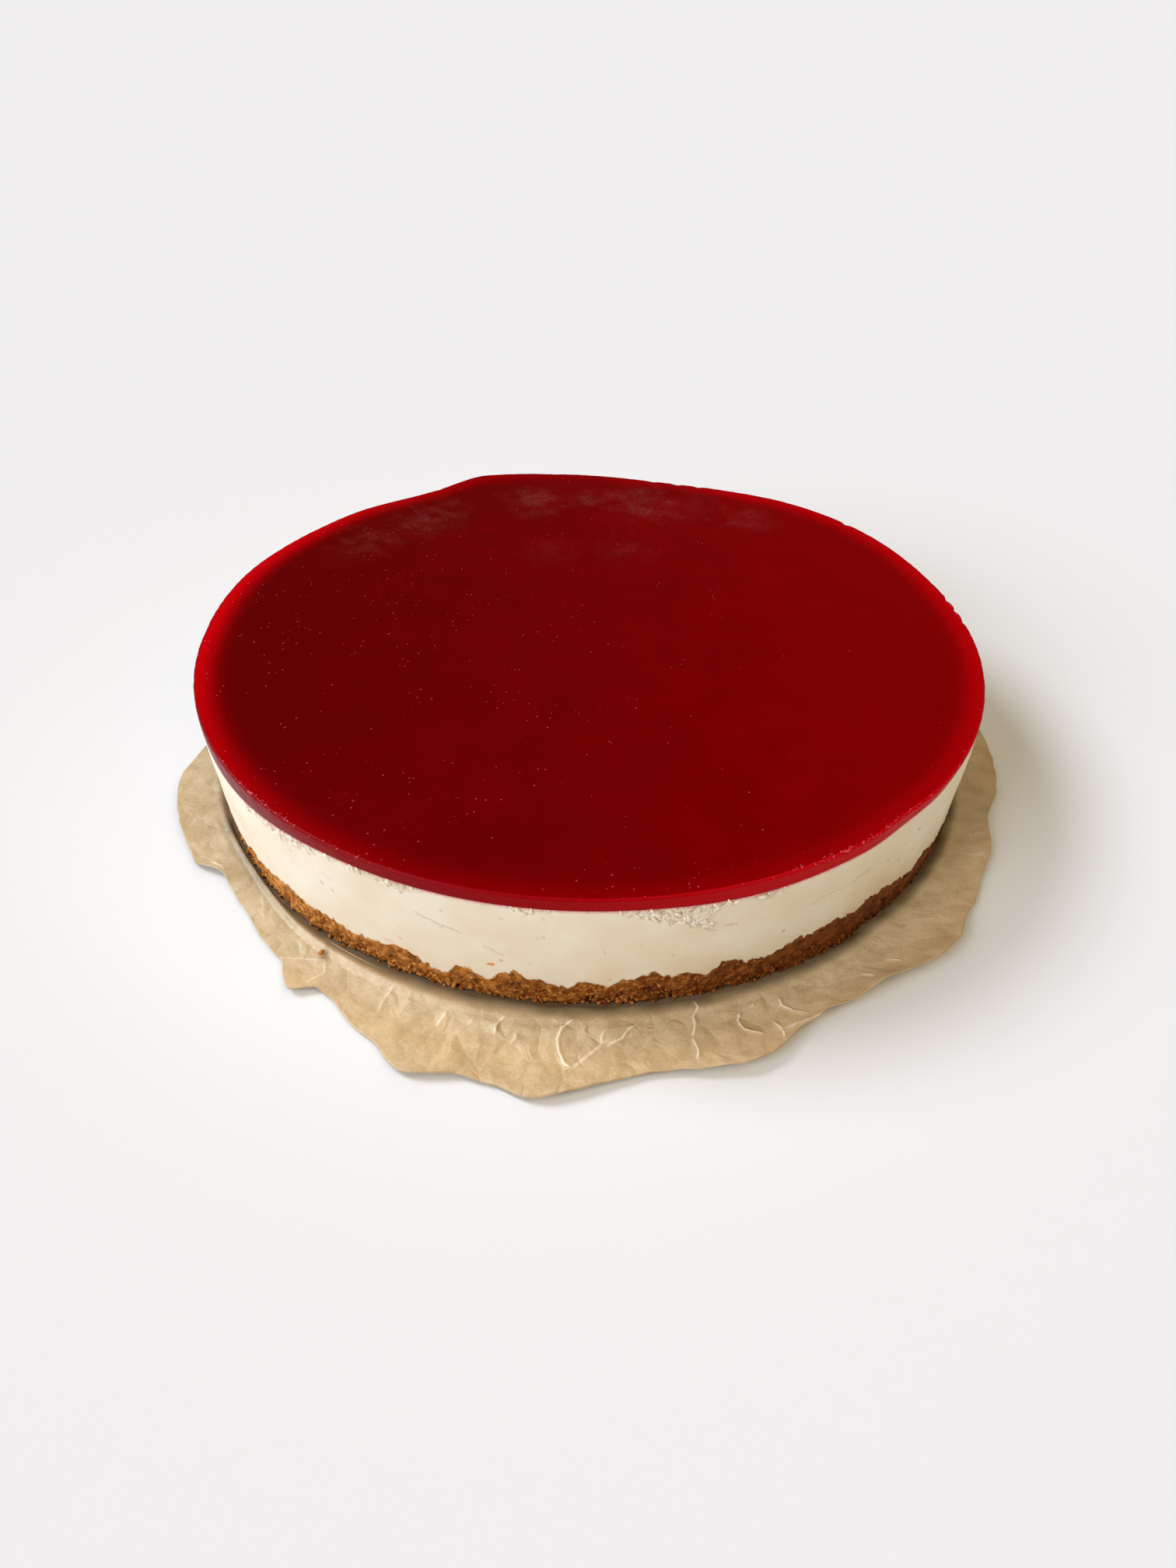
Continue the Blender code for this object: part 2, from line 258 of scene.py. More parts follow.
def grow(mesh, edges, rings, steps):
    """Extrude the open edge of a surface from ring to ring."""
    for ring in rings:
        grown = bmesh.ops.extrude_edge_only(mesh, edges=edges)["geom"]
        edges = [item for item in grown if isinstance(item, bmesh.types.BMEdge) and item.is_boundary]
        place(edges, ring, steps)
    return edges


def add_marks(mesh, *names):
    """Layers of numbers on a mesh's corners, which its material reads by name."""
    layers = [mesh.verts.layers.float.new(name) for name in names]
    mesh.verts.ensure_lookup_table()
    return layers


def put_in_scene(name, data):
    """A new object in the scene, which is the mesh, the lamp or the camera given."""
    thing = bpy.data.objects.new(name, data)
    bpy.context.scene.collection.objects.link(thing)
    return thing


def finished(name, mesh, material):
    """The mesh data of a finished surface, with its material."""
    data = bpy.data.meshes.new(name)
    mesh.to_mesh(data)
    mesh.free()
    data.materials.append(material)
    return data


def make_piece(name, mesh, material):
    """Put a finished surface in the scene, on the cake's one body, with its finish."""
    data = finished(name, mesh, material)
    data.shade_smooth()
    piece = put_in_scene(name, data)
    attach(piece, "root")
    return piece


def colour(code):
    """The linear colour of an sRGB hex code."""
    parts = [int(code[place:place + 2], 16) / 255.0 for place in (1, 3, 5)]
    linear = [part / 12.92 if part <= 0.04045 else ((part + 0.055) / 1.055) ** 2.4 for part in parts]
    return (*linear, 1.0)


def set_inputs(node, inputs):
    """Set or link a node's inputs. Each is a value or another node's result."""
    for socket, value in inputs.items():
        if isinstance(value, bpy.types.NodeSocket):
            node.id_data.links.new(value, node.inputs[socket])
        else:
            node.inputs[socket].default_value = value


def add_node(tree, kind, inputs, take=0, **settings):
    """One shader node with its settings, of which one output is taken as its result."""
    node = tree.nodes.new("ShaderNode" + kind)
    for name, value in settings.items():
        setattr(node, name, value)
    set_inputs(node, inputs)
    return node.outputs[take] if node.outputs else node


def start_material(name):
    """A new material, with its shader and with what adds a node to it."""
    material = bpy.data.materials.new(name)
    material.use_nodes = True
    tree = material.node_tree
    return material, tree.nodes["Principled BSDF"], partial(add_node, tree)


# How far aside a line is still felt, and where it is lost, in half widths
LINE_REACH = 2.6
LINE_FAR = 3.0


def line_relief(spots, lines):
    """How far aside of the nearest line each spot is, in half widths, and how strong that line is."""
    aside = np.full(len(spots), LINE_FAR)
    strong_there = np.zeros(len(spots))
    for corners, strong, half_width in lines:
        corners = np.array(corners)
        steps = np.linalg.norm(corners[1:] - corners[:-1], axis=1)
        passed = 0.0
        for start, end, step in zip(corners, corners[1:], steps):
            along = (end - start) / step
            run = np.clip((spots - start) @ along, 0.0, step)
            offset = spots - start - run[:, None] * along
            side = np.where(along[0] * offset[:, 1] - along[1] * offset[:, 0] < 0.0, -1.0, 1.0)
            away = np.linalg.norm(offset, axis=1) / half_width
            gone = passed + run
            ends = np.clip(np.minimum(gone, steps.sum() - gone) / (LINE_FAR * half_width), 0.0, 1.0)
            nearer = away < np.abs(aside)
            aside = np.where(nearer, side * away, aside)
            here = strong * ends * np.clip(LINE_REACH - away, 0.0, 1.0)
            strong_there = np.where(nearer, here, strong_there)
            passed += step
    return aside, strong_there


def make_paper_sheet():
    """The sheet, ring by ring: out along its underside and back along its face, which is wrinkled."""
    def fold(share, thickness):
        def ring(azimuth):
            inner = foot_radius(azimuth) + FOLD_START
            height = fold_crest(azimuth) * ease(share) + thickness
            return inner + share * (fold_radius(azimuth) - inner), height
        return ring

    def lee(share, thickness):
        def ring(azimuth):
            height = SKIRT_REST + (fold_crest(azimuth) - SKIRT_REST) * (1.0 - ease(share)) + thickness
            return fold_radius(azimuth) + share * FOLD_WIDTH, height
        return ring

    def skirt(share, thickness):
        def ring(azimuth):
            inner = fold_radius(azimuth) + FOLD_WIDTH
            radius = inner + share * (paper_reach(azimuth) - inner)
            return radius, SKIRT_REST + share ** SKIRT_CURVE * paper_lift(azimuth) + thickness
        return ring

    mesh, edges = start_disc(fold(0.0, 0.0), PAPER_STEPS)
    underside = [fold(0.5, 0.0), fold(1.0, 0.0), lee(1.0, 0.0)]
    underside += [skirt(share, 0.0) for share in (0.3, 0.55, 0.75, 0.9, 1.0)]
    edges = grow(mesh, edges, underside, PAPER_STEPS)
    face_start = len(mesh.verts)
    face = [skirt(ring / SKIRT_RINGS, PAPER_SHEET) for ring in range(SKIRT_RINGS, 0, -1)]
    face += [lee(share, PAPER_SHEET) for share in (1.0, 0.65, 0.35)]
    face += [fold(share, PAPER_SHEET) for share in (1.0, 0.86, 0.72, 0.55, 0.4, 0.25, 0.12, 0.0)]
    edges = grow(mesh, edges, face, PAPER_STEPS)
    bmesh.ops.contextual_create(mesh, geom=edges)

    crease_layer, aside_layer, wrinkled_layer, grease_shade_layer, outer_layer = add_marks(
        mesh, "crease", "crease_aside", "wrinkled", "grease_and_shade", "outer"
    )
    verts = mesh.verts[face_start:]
    courses = []
    for course, height, half_width in CREASES:
        corners = [spot(azimuth, radius * MM, 0.0)[:2] for azimuth, radius in course]
        courses.append((corners, min(1.0, height / FULL_CREASE), half_width * MM))
    aside, creased = line_relief(np.array([vert.co[:2] for vert in verts]), courses)
    for vert, off, strong in zip(verts, aside, creased):
        azimuth = azimuth_of(vert, PAPER_STEPS)
        out = vert.co.xy.length
        open_sheet = clamp(0.5 + (out - fold_radius(azimuth)) / OPEN_SHEET)
        flat_spot = Vector((vert.co.x, vert.co.y, 0.0))
        wrinkled = WRINKLED_LEAST + share_at(azimuth, WRINKLED)
        rolling = 0.5 + 0.5 * noise.noise(flat_spot / WRINKLE_ROLL + Vector((4.0, 1.0, 0.0)))
        folded = noise.noise(flat_spot / WRINKLE_FOLD + Vector((9.0, 5.0, 2.0)))
        line = 1.0 - min(1.0, abs(folded) / 0.3)
        ridge = max(0.0, 1.0 - abs(off) / CREASE_REACH) ** 2
        rise = WRINKLE_HEIGHT * wrinkled * (0.75 * rolling + 0.25 * line)
        vert.co.z += open_sheet * (rise + CREASE_HEIGHT * strong * ridge)
        vert[crease_layer] = strong
        vert[aside_layer] = off
        outer = clamp((out - OUTER_START) / OUTER_BAND)
        vert[outer_layer] = outer
        vert[wrinkled_layer] = wrinkled * open_sheet * (1.0 - OUTER_CALM * outer)
        # Grease stain and painted contact shade: the paper is darkened within a few millimetres of the
        # foot
        grease_shade = GREASE_SHADE_REACH - 1.2 * MM * noise.noise(flat_spot / GREASE_SHADE_WAVE)
        vert[grease_shade_layer] = clamp((grease_shade - out + foot_radius(azimuth)) / GREASE_SHADE_REACH)
    bmesh.ops.recalc_face_normals(mesh, faces=mesh.faces)
    return mesh


# Greaseproof paper is smooth cellulose with a silky face. Long fibres show as cloudy streaks, creases have
# turned whiter where the fibres broke and carry a painted highlight on their crests and facet ridges, and
# butter has stained it along the cake's foot, where painted contact shade darkens it further.
PAPER_LIGHT = colour("#DAC59F")
PAPER_DARK = colour("#C4AE86")
PAPER_LIGHT_OUTER = colour("#D6BA8E")
PAPER_DARK_OUTER = colour("#C0A479")
PAPER_CREASE_WHITE_AND_HIGHLIGHT = colour("#FBEFD2")
PAPER_GREASE_AND_SHADE = colour("#38200C")
PAPER_CLOUD = 7.0 * MM
PAPER_FIBRE = 0.7 * MM
PAPER_FACET = 9.0 * MM
PAPER_CRINKLE = 3.4 * MM
FACET_RISE = 0.85 * MM
CRINKLE_RISE = 0.13 * MM
CREASE_BUMP = 0.14 * MM
FIBRE_BUMP = 0.02 * MM
PAPER_WARP = 10.0 * MM
PAPER_SHIFT = (7.0 * MM, 7.0 * MM, 0.0)
PAPER_WANDER = 3.0 * MM


def make_paper_material():
    material, shader, add = start_material("brown greaseproof paper, calendered")
    place_on = add("TexCoord", {}, take="Object")
    outer, wrinkled, aside, crease, grease_and_shade = (
        add("Attribute", {}, take="Fac", attribute_name=mark)
        for mark in ("outer", "wrinkled", "crease_aside", "crease", "grease_and_shade")
    )
    clouds, fibres, wander = (
        add("TexNoise", {"Vector": place_on, "Scale": 1.0 / size, "Detail": detail})
        for size, detail in ((PAPER_CLOUD, 4.0), (PAPER_FIBRE, 3.0), (PAPER_WANDER, 2.0))
    )
    mottle = add("Mix", {0: 0.4, 2: clouds, 3: fibres})
    shade = add("MapRange", {0: mottle, 1: 0.38, 2: 0.62})
    inner = add("Mix", {0: shade, 6: PAPER_DARK, 7: PAPER_LIGHT}, take=2, data_type="RGBA")
    tanned = add("Mix", {0: shade, 6: PAPER_DARK_OUTER, 7: PAPER_LIGHT_OUTER}, take=2, data_type="RGBA")
    base = add("Mix", {0: outer, 6: inner, 7: tanned}, take=2, data_type="RGBA")

    warp = add("TexNoise", {"Vector": place_on, "Scale": 1.0 / PAPER_WARP, "Detail": 2.0}, take=1)
    bent = add("VectorMath", {0: warp, 1: PAPER_SHIFT, 2: place_on}, operation="MULTIPLY_ADD")
    facets, crinkle = (
        add("TexVoronoi", {"Vector": bent, "Scale": 1.0 / size}, feature="DISTANCE_TO_EDGE")
        for size in (PAPER_FACET, PAPER_CRINKLE)
    )
    facet_rise, crinkle_rise = (
        add("MapRange", {0: folds, 1: 0.0, 2: 0.5, 3: 0.0, 4: rise})
        for folds, rise in ((facets, FACET_RISE), (crinkle, CRINKLE_RISE))
    )
    crumple = add("Math", {0: facet_rise, 1: crinkle_rise})
    crumpled = add("Math", {0: crumple, 1: wrinkled}, operation="MULTIPLY")

    strayed = add("MapRange", {0: wander, 1: 0.3, 2: 0.7, 3: -0.3, 4: 0.3})
    off_line = add("Math", {0: aside, 1: strayed})
    off = add("Math", {0: off_line}, operation="ABSOLUTE")
    crest = add("MapRange", {0: off, 1: 0.1, 2: 0.8, 3: 1.3, 4: 0.0})
    ridge = add("MapRange", {0: off, 1: 0.0, 2: CREASE_REACH, 3: CREASE_BUMP, 4: 0.0})
    ridged = add("Math", {0: ridge, 1: crease, 2: crumpled}, operation="MULTIPLY_ADD")
    # Crease crests and facet ridges are lightened: whitened fibre and a painted highlight
    white = add("Math", {0: crest, 1: crease}, operation="MULTIPLY")
    edge = add("MapRange", {0: facets, 1: 0.0, 2: 0.03, 3: 0.1, 4: 0.0})
    crease_white_and_highlight = add("Math", {0: edge, 1: wrinkled, 2: white}, operation="MULTIPLY_ADD", use_clamp=True)

    # Grease stain and painted contact shade along the cake's foot
    grease_shade = add("Math", {0: grease_and_shade, 1: 1.4}, operation="POWER")
    for share, coat in ((grease_shade, PAPER_GREASE_AND_SHADE), (crease_white_and_highlight, PAPER_CREASE_WHITE_AND_HIGHLIGHT)):
        base = add("Mix", {0: share, 6: base, 7: coat}, take=2, data_type="RGBA")
    dull = add("MapRange", {0: clouds, 1: 0.3, 2: 0.7, 3: 0.32, 4: 0.5})
    woven = add("Math", {0: fibres, 1: FIBRE_BUMP, 2: ridged}, operation="MULTIPLY_ADD")
    bump = add("Bump", {"Height": woven, "Strength": 1.0, "Distance": 1.0})
    set_inputs(shader, {
        "Base Color": base, "Roughness": dull, "Normal": bump, "IOR": 1.5, "Specular IOR Level": 0.3,
    })
    return material


baking_paper = make_piece("greaseproof_sheet", make_paper_sheet(), make_paper_material())
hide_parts("baking_paper")

# Biscuit base
# Crushed sweet biscuit bound with butter and pressed by hand into the tin, so it is a packed mass of
# grains. The tin smoothed the upper part of its side, and the foot has crumbled away.
CAKE_TOP = 43.6 * MM
BASE_DEPTH = 9.8 * MM
JOINT_BAND = 14.0 * MM
JOINT_SHOULDER = 4.0 * MM
JOINT_SHOULDER_SHARE = 0.55
PAPER_SOLID = 0.4 * MM
JOINT_LEVEL = PAPER_SOLID + BASE_DEPTH
CRUMB_LINE_BUMP = 3.0 * MM
CRUMB_LINE_RELIEF = 0.5 * MM
FINE_RELIEF = 0.6 * MM
STEP_RELIEF = 0.65 * MM
FOOT_BUMP = 9.0 * MM
FOOT_RELIEF = 0.9 * MM
FOOT_INSET = 0.3 * MM
FOOT_UNDER = 3.0 * MM
UNDERCUT_HEIGHT = 1.8 * MM
UNDERCUT_DEPTH = 1.2 * MM
FOOT_BULGES = ((228, 16, 14, 1.0),)
# Where the tin's ring left the crumb smooth: azimuth, reach before and after, share
SMOOTHED = ((314, 26, 30, 0.4),)
PRESSED_BUMP = 8.0 * MM
GRAIN_SIZE = 1.5 * MM
GRAIN_RELIEF = 0.6 * MM
GRAIN_SINK = 0.06 * MM
HOLLOW_BUMP = 4.0 * MM
HOLLOW_DEPTH = 0.9 * MM
CRUMB_TUCK = 0.3 * MM
CRUMB_TUCK_IN = 0.5 * MM
CRUMB_STEPS = 1680
CRUMB_RINGS = 32
BACK_OF_BASE = (326, 572)

# Tongues of crumb that stand up into the cream, and bays where the cream runs down
CRUMB_TONGUES = (
    (215, 6, 5, -1.6), (226, 4, 4, 1.0), (240, 4, 3, -1.0), (246, 2.6, 2.6, 1.9), (252, 4, 4, -4.4),
    (258, 2.4, 2.4, -2.4), (261.8, 1.7, 1.1, 2.5), (254.3, 1.8, 1.8, 2.0), (269.3, 1.6, 1.6, 0.6),
    (217.3, 3, 2, 2.6), (227.4, 2, 2, 1.2), (286.3, 1.2, 1.2, 1.2), (282.5, 2.5, 2, 1.0),
    (300, 8, 10, 1.9), (309, 10, 12, 0.8), (267.5, 3, 3, -2.9), (272.5, 2.6, 2.6, -1.9),
    (278, 2.2, 2.2, 2.2), (284.5, 3, 2.4, -1.6), (288, 2.4, 2.4, 2.6), (292.5, 2.2, 2.2, -1.2),
    (296, 3, 3, 1.2), (302.5, 3, 3, 1.4), (309, 2.4, 2.4, 2.2), (313, 3, 3, 1.6), (322, 2.6, 3, 3.2),
)
CRUMB_TILT = 1.9 * MM
CRUMB_HIGH_SIDE = 320
BACK_TONGUES = seeded_humps(3, BACK_OF_BASE, 5.0, 3.5, 2.6)


def wall_radius(azimuth, height):
    """The cake's side, which leans in a little towards the foot."""
    depth = max(0.0, 1.0 - height / CAKE_TOP)
    return rim_radius(azimuth) - WALL_TAPER * depth ** 1.5


@lru_cache(maxsize=None)
def crumb_line(azimuth):
    """The height at which biscuit crumb gives way to cream on the cake's side."""
    tilt = CRUMB_TILT * math.cos(math.radians(azimuth - CRUMB_HIGH_SIDE))
    tongues = humps(azimuth, CRUMB_TONGUES) + humps(azimuth, BACK_TONGUES)
    grain = CRUMB_LINE_RELIEF * rough(azimuth, CAKE_RADIUS, 0.0, CRUMB_LINE_BUMP, 7.3)
    fine = FINE_RELIEF * rough(azimuth, CAKE_RADIUS, 0.0, GRAIN_SIZE, 2.2)
    fine += STEP_RELIEF * (noise.cell(spot(azimuth, CAKE_RADIUS, 0.0) / (0.9 * GRAIN_SIZE)) - 0.5)
    return JOINT_LEVEL + tilt + tongues + grain + fine


def move_out(vert, distance):
    """Move a corner level, straight away from the cake's axis."""
    vert.co += Vector((vert.co.x, vert.co.y, 0.0)).normalized() * distance


def grain_relief(place_at):
    """Height and pit depth of packed grains: each cell is one grain with a rounded face."""
    near, nearest = noise.voronoi(place_at / GRAIN_SIZE)[:2]
    dome = 1.0 - min(1.0, near[0] / 0.75) ** 2
    seam = min(1.0, (near[1] - near[0]) / 0.22)
    lean = noise.noise(nearest[0] * 3.7)
    return dome * 0.7 + 0.6 * lean, 1.0 - seam, 0.5 + lean


def joint_middle(azimuth):
    """The level middle of the joint of base and cream, inside the cake."""
    return foot_radius(azimuth) - JOINT_BAND, JOINT_LEVEL


def joint_shoulder(azimuth):
    """Where that joint leaves its level for the crumb's line at the side."""
    height = JOINT_LEVEL + JOINT_SHOULDER_SHARE * (crumb_line(azimuth) - JOINT_LEVEL)
    return foot_radius(azimuth) - JOINT_SHOULDER, height


def make_biscuit_side():
    def tucked(azimuth):
        height = crumb_line(azimuth) + CRUMB_TUCK
        return wall_radius(azimuth, height) - CRUMB_TUCK_IN, height

    def side(share):
        def ring(azimuth):
            height = PAPER_SHEET + share * (crumb_line(azimuth) - PAPER_SHEET)
            return wall_radius(azimuth, height), height
        return ring

    def foot(azimuth):
        return foot_radius(azimuth) - FOOT_UNDER, PAPER_SHEET

    mesh, edges = start_disc(joint_middle, CRUMB_STEPS)
    edges = grow(mesh, edges, (joint_shoulder, tucked), CRUMB_STEPS)
    wall = len(mesh.verts)
    rings = [side(ring / CRUMB_RINGS) for ring in range(CRUMB_RINGS, -1, -1)]
    edges = grow(mesh, edges, rings, CRUMB_STEPS)
    wall_end = len(mesh.verts)
    edges = grow(mesh, edges, (foot,), CRUMB_STEPS)
    bmesh.ops.contextual_create(mesh, geom=edges)

    pit_layer, tone_layer, pressed_layer = add_marks(mesh, "pit", "tone", "pressed")
    for vert in mesh.verts[wall:wall_end]:
        azimuth = azimuth_of(vert, CRUMB_STEPS)
        height = vert.co.z
        rise = min(1.0, height / crumb_line(azimuth))
        relief, pit, tone = grain_relief(vert.co)
        patchy = noise.noise(vert.co / PRESSED_BUMP)
        pressed = clamp(1.1 * (rise - 0.3) + share_at(azimuth, SMOOTHED) + patchy)
        hollow = max(0.0, noise.noise(vert.co / HOLLOW_BUMP + Vector((3.0, 8.0, 5.0))) - 0.12)
        crumbled = FOOT_RELIEF * rough(azimuth, CAKE_RADIUS, 0.0, FOOT_BUMP, 5.9)
        low = max(0.0, 1.0 - rise * 1.8)
        undercut = UNDERCUT_DEPTH * max(0.0, 1.0 - height / UNDERCUT_HEIGHT) ** 2
        outward = (relief - 0.35) * GRAIN_RELIEF * (1.0 - 0.75 * pressed)
        outward -= HOLLOW_DEPTH * 1.4 * hollow * (1.0 - 0.5 * pressed)
        outward += low * (crumbled + humps(azimuth, FOOT_BULGES) - FOOT_INSET) - undercut
        edge = max(0.0, (rise - 0.9) * 10.0)
        move_out(vert, outward * (1.0 - 0.5 * edge) - GRAIN_SINK)
        # pit: painted shade in the seams between grains and in the hollows
        vert[pit_layer] = min(1.0, 0.7 * pit * (1.0 - 0.6 * pressed) + 0.9 * hollow) * (1.0 - edge)
        vert[tone_layer] = clamp(tone)
        vert[pressed_layer] = pressed
    bmesh.ops.recalc_face_normals(mesh, faces=mesh.faces)
    return mesh


# Baked biscuit is matte and dry with a little butter gloss. Each grain has its own toasted tone, and
# the seams between grains and the hollows are darkened with painted shade. Painted shade also darkens the
# base toward +X.
CRUMB_PALE = colour("#EAA04C")
CRUMB_TOASTED = colour("#AA6010")
CRUMB_DARK = colour("#6C3406")
CRUMB_PIT_SHADE = colour("#441C04")
# Painted shade: the base is darkened across X, the +X side most
CRUMB_SIDE_SHADE = colour("#AA8C64")
SHADE_FROM_X = -55.0 * MM
SHADE_FULL_X = 65.0 * MM
CRUMB_MEAL = 0.35 * MM
CRUMB_CELL = 1.6 * MM
MEAL_BUMP = 0.22 * MM
CELL_RELIEF = 0.45 * MM
SEAM_SHADE = 0.405


def make_crumb_material(name, cell_relief, seam_shade):
    """Biscuit, with packed grains in its face as high, and painted shade in their seams as dark, as given.
    """
    material, shader, add = start_material(name)
    place_on = add("TexCoord", {}, take="Object")
    tone, pressed, pit = (
        add("Attribute", {}, take="Fac", attribute_name=mark)
        for mark in ("tone", "pressed", "pit")
    )
    meal = add("TexNoise", {"Vector": place_on, "Scale": 1.0 / CRUMB_MEAL, "Detail": 3.0})
    cells = add("TexVoronoi", {"Vector": place_on, "Scale": 1.0 / CRUMB_CELL})
    smoothed = add("MapRange", {0: pressed, 1: 0.0, 2: 0.8, 3: 1.0, 4: 0.4})
    cell_tone = add("Mix", {0: 0.5, 2: tone, 3: cells.node.outputs["Color"]})
    each = add("Math", {0: pressed, 1: 0.12, 2: cell_tone}, operation="MULTIPLY_ADD")
    both = add("Mix", {0: 0.4, 2: each, 3: meal})
    light = add("MapRange", {0: both, 1: 0.44, 2: 0.7})
    low = add("MapRange", {0: both, 1: 0.15, 2: 0.45})
    # Painted shade in the seams between grains, less where the crumb is pressed smooth
    seam = add("MapRange", {0: cells, 1: 0.45, 2: 0.8, 3: 0.0, 4: seam_shade})
    seamed = add("Math", {0: seam, 1: smoothed}, operation="MULTIPLY")
    gap_shade = add("Math", {0: pit, 1: seamed}, operation="MAXIMUM")
    base = CRUMB_DARK
    for share, coat in ((low, CRUMB_TOASTED), (light, CRUMB_PALE), (gap_shade, CRUMB_PIT_SHADE)):
        base = add("Mix", {0: share, 6: base, 7: coat}, take=2, data_type="RGBA")
    # Painted shade, darker toward +X
    axes = add("SeparateXYZ", {"Vector": place_on})
    across = add("MapRange", {0: axes, 1: SHADE_FROM_X, 2: SHADE_FULL_X})
    side_shaded = add(
        "Mix", {0: across, 6: base, 7: CRUMB_SIDE_SHADE}, take=2, data_type="RGBA", blend_type="MULTIPLY"
    )
    dome = add("MapRange", {0: cells, 1: 0.1, 2: 0.8, 3: cell_relief, 4: 0.0})
    domed = add("Math", {0: dome, 1: smoothed}, operation="MULTIPLY")
    gritty = add("Math", {0: meal, 1: MEAL_BUMP, 2: domed}, operation="MULTIPLY_ADD")
    bump = add("Bump", {"Height": gritty, "Strength": 1.0, "Distance": 1.0})
    set_inputs(shader, {
        "Base Color": side_shaded, "Normal": bump, "Roughness": 0.62, "IOR": 1.45, "Specular IOR Level": 0.25,
    })
    return material


packed_crumb = make_crumb_material("crushed sweet biscuit, pressed", CELL_RELIEF, SEAM_SHADE)
biscuit_side = make_piece("pressed_biscuit", make_biscuit_side(), packed_crumb)
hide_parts("biscuit_base")

# Loose biscuit grains
# Broken grains that stand proud of the side and lie along the foot, where the base crumbled as the
# tin came off. One bigger crumb has rolled onto the paper.
GRAIN_COUNT = 3500
GRAIN_BATCH = 50
FOOT_GRAINS = 800
LINE_GRAINS = 800
# Their radius in millimetres: least, most and commonest
WALL_GRAIN = (0.5, 1.15, 0.72)
LINE_GRAIN = (0.35, 0.8, 0.5)
FOOT_GRAIN = (0.3, 0.85, 0.5)
LOOSE_CRUMB = (235.9, 134.4 * MM, 2.0 * MM)
LOOSE_CRUMB_SIZE = 1.3 * MM


def add_grain(mesh, tone_layer, centre, size, draw):
    """One broken grain, from a ball of twenty faces that is squashed and knocked about."""
    tone = draw.uniform(0.1, 1.0)
    angle = draw.uniform(0.0, math.tau)
    turn = Matrix.Rotation(angle, 3, Vector((draw.gauss(0, 1), draw.gauss(0, 1), 0.3)))
    for vert in bmesh.ops.create_icosphere(mesh, subdivisions=1, radius=size)["verts"]:
        vert.co = vert.co * draw.uniform(0.7, 1.15)
        vert.co.z *= 0.8
        vert.co = turn @ vert.co + centre
        vert[tone_layer] = tone


def make_grains():
    draw = random.Random(26)
    places = []
    for _ in range(GRAIN_COUNT):
        azimuth = draw.uniform(0.0, 360.0)
        size = draw.triangular(*WALL_GRAIN) * MM
        line = crumb_line(round(azimuth, 1))
        height = max(0.9 * MM + draw.random() ** 1.4 * (line - 1.2 * MM), PAPER_SHEET + 1.05 * size)
        sunk = draw.uniform(0.45, 0.95) * size + 0.1 * MM
        places.append((spot(azimuth, wall_radius(azimuth, height) - sunk, height), size))
    for _ in range(LINE_GRAINS):
        azimuth = draw.uniform(0.0, 360.0)
        size = draw.triangular(*LINE_GRAIN) * MM
        height = crumb_line(round(azimuth, 1)) + draw.uniform(-0.7, 0.2) * MM
        sunk = draw.uniform(0.4, 0.75) * size + 0.1 * MM
        places.append((spot(azimuth, wall_radius(azimuth, height) - sunk, height), size))
    for _ in range(FOOT_GRAINS):
        azimuth = draw.uniform(0.0, 360.0)
        size = draw.triangular(*FOOT_GRAIN) * MM
        out = foot_radius(azimuth) + humps(azimuth, FOOT_BULGES) - draw.uniform(-0.3, 1.3) * MM
        places.append((spot(azimuth, out, PAPER_SHEET + size), size))
    places.append((spot(*LOOSE_CRUMB), LOOSE_CRUMB_SIZE))

    whole = bmesh.new()
    data = bpy.data.meshes.new("grain_batch")
    for first in range(0, len(places), GRAIN_BATCH):
        batch = bmesh.new()
        tone_layer = batch.verts.layers.float.new("tone")
        batch.verts.layers.float.new("pit")
        for centre, size in places[first:first + GRAIN_BATCH]:
            add_grain(batch, tone_layer, centre, size, draw)
        bmesh.ops.recalc_face_normals(batch, faces=batch.faces)
        batch.to_mesh(data)
        batch.free()
        whole.from_mesh(data)
    bpy.data.meshes.remove(data)
    return whole


loose_crumb = make_crumb_material("sweet biscuit, broken into grains", 0.0, 0.0)
make_piece("biscuit_grains", make_grains(), loose_crumb)

# Cream filling
# Soft cheese and cream set with gelatine. Its side was cast against the tin's ring and is smooth and
# moist, with small air pits, knife scratches, and a torn band where the ring pulled at its top edge.
JELLY_DEPTH = 3.9 * MM
CREAM_BUMP = 14.0 * MM
CREAM_RELIEF = 0.4 * MM
JELLY_LIP_WIDTH = 8.0 * MM
JELLY_BOTTOM = CAKE_TOP - JELLY_DEPTH
CREAM_STEPS = 1600
CREAM_RINGS = 54
CREAM_TUCK_IN = 0.45 * MM
# How the torn band is shredded, and how ragged the cream's lower lip is
TORN_LEAST = 0.7
TORN_BUMP = 3.0 * MM
SHRED_BUMPS = (2.2 * MM, 1.2 * MM)
SHRED_RELIEF = 1.3 * MM
TORN_DEPTH = 0.45 * MM
SKIN_RELIEF = 0.03 * MM
LIP_BAND = 0.9 * MM
LIP_BUMP = 1.3 * MM
LIP_RELIEF = 0.45 * MM
MOST_PROUD = 0.25 * MM
SCRATCH_DEPTH = 0.3 * MM
FULL_SCRATCH = 0.6
SCRATCH_WIDTH = 0.7
STAIN_REACH = 1.1 * MM
FULL_PIT = 0.4 * MM

# Where the cream rises or sinks under the jelly at the side
JELLY_LINE_SWELLS = ((218, 20, 24, -2.6), (290, 16, 14, -0.8), (328, 20, 24, 2.9))
# Torn stretches under the jelly: azimuth, reach before and after, and how far down they run
TORN_BANDS = (
    (230, 16, 14, 3.4), (247, 9, 8, 3.0), (263, 8, 8, 1.6), (277, 5, 5, 3.4), (283, 6, 6, 5.2),
    (291, 4, 5, 2.6), (303, 8, 6, 0.8), (20, 16, 16, 2.0), (66, 12, 18, 3.0), (108, 14, 10, 2.4),
    (150, 20, 14, 3.2), (186, 10, 12, 2.0),
)
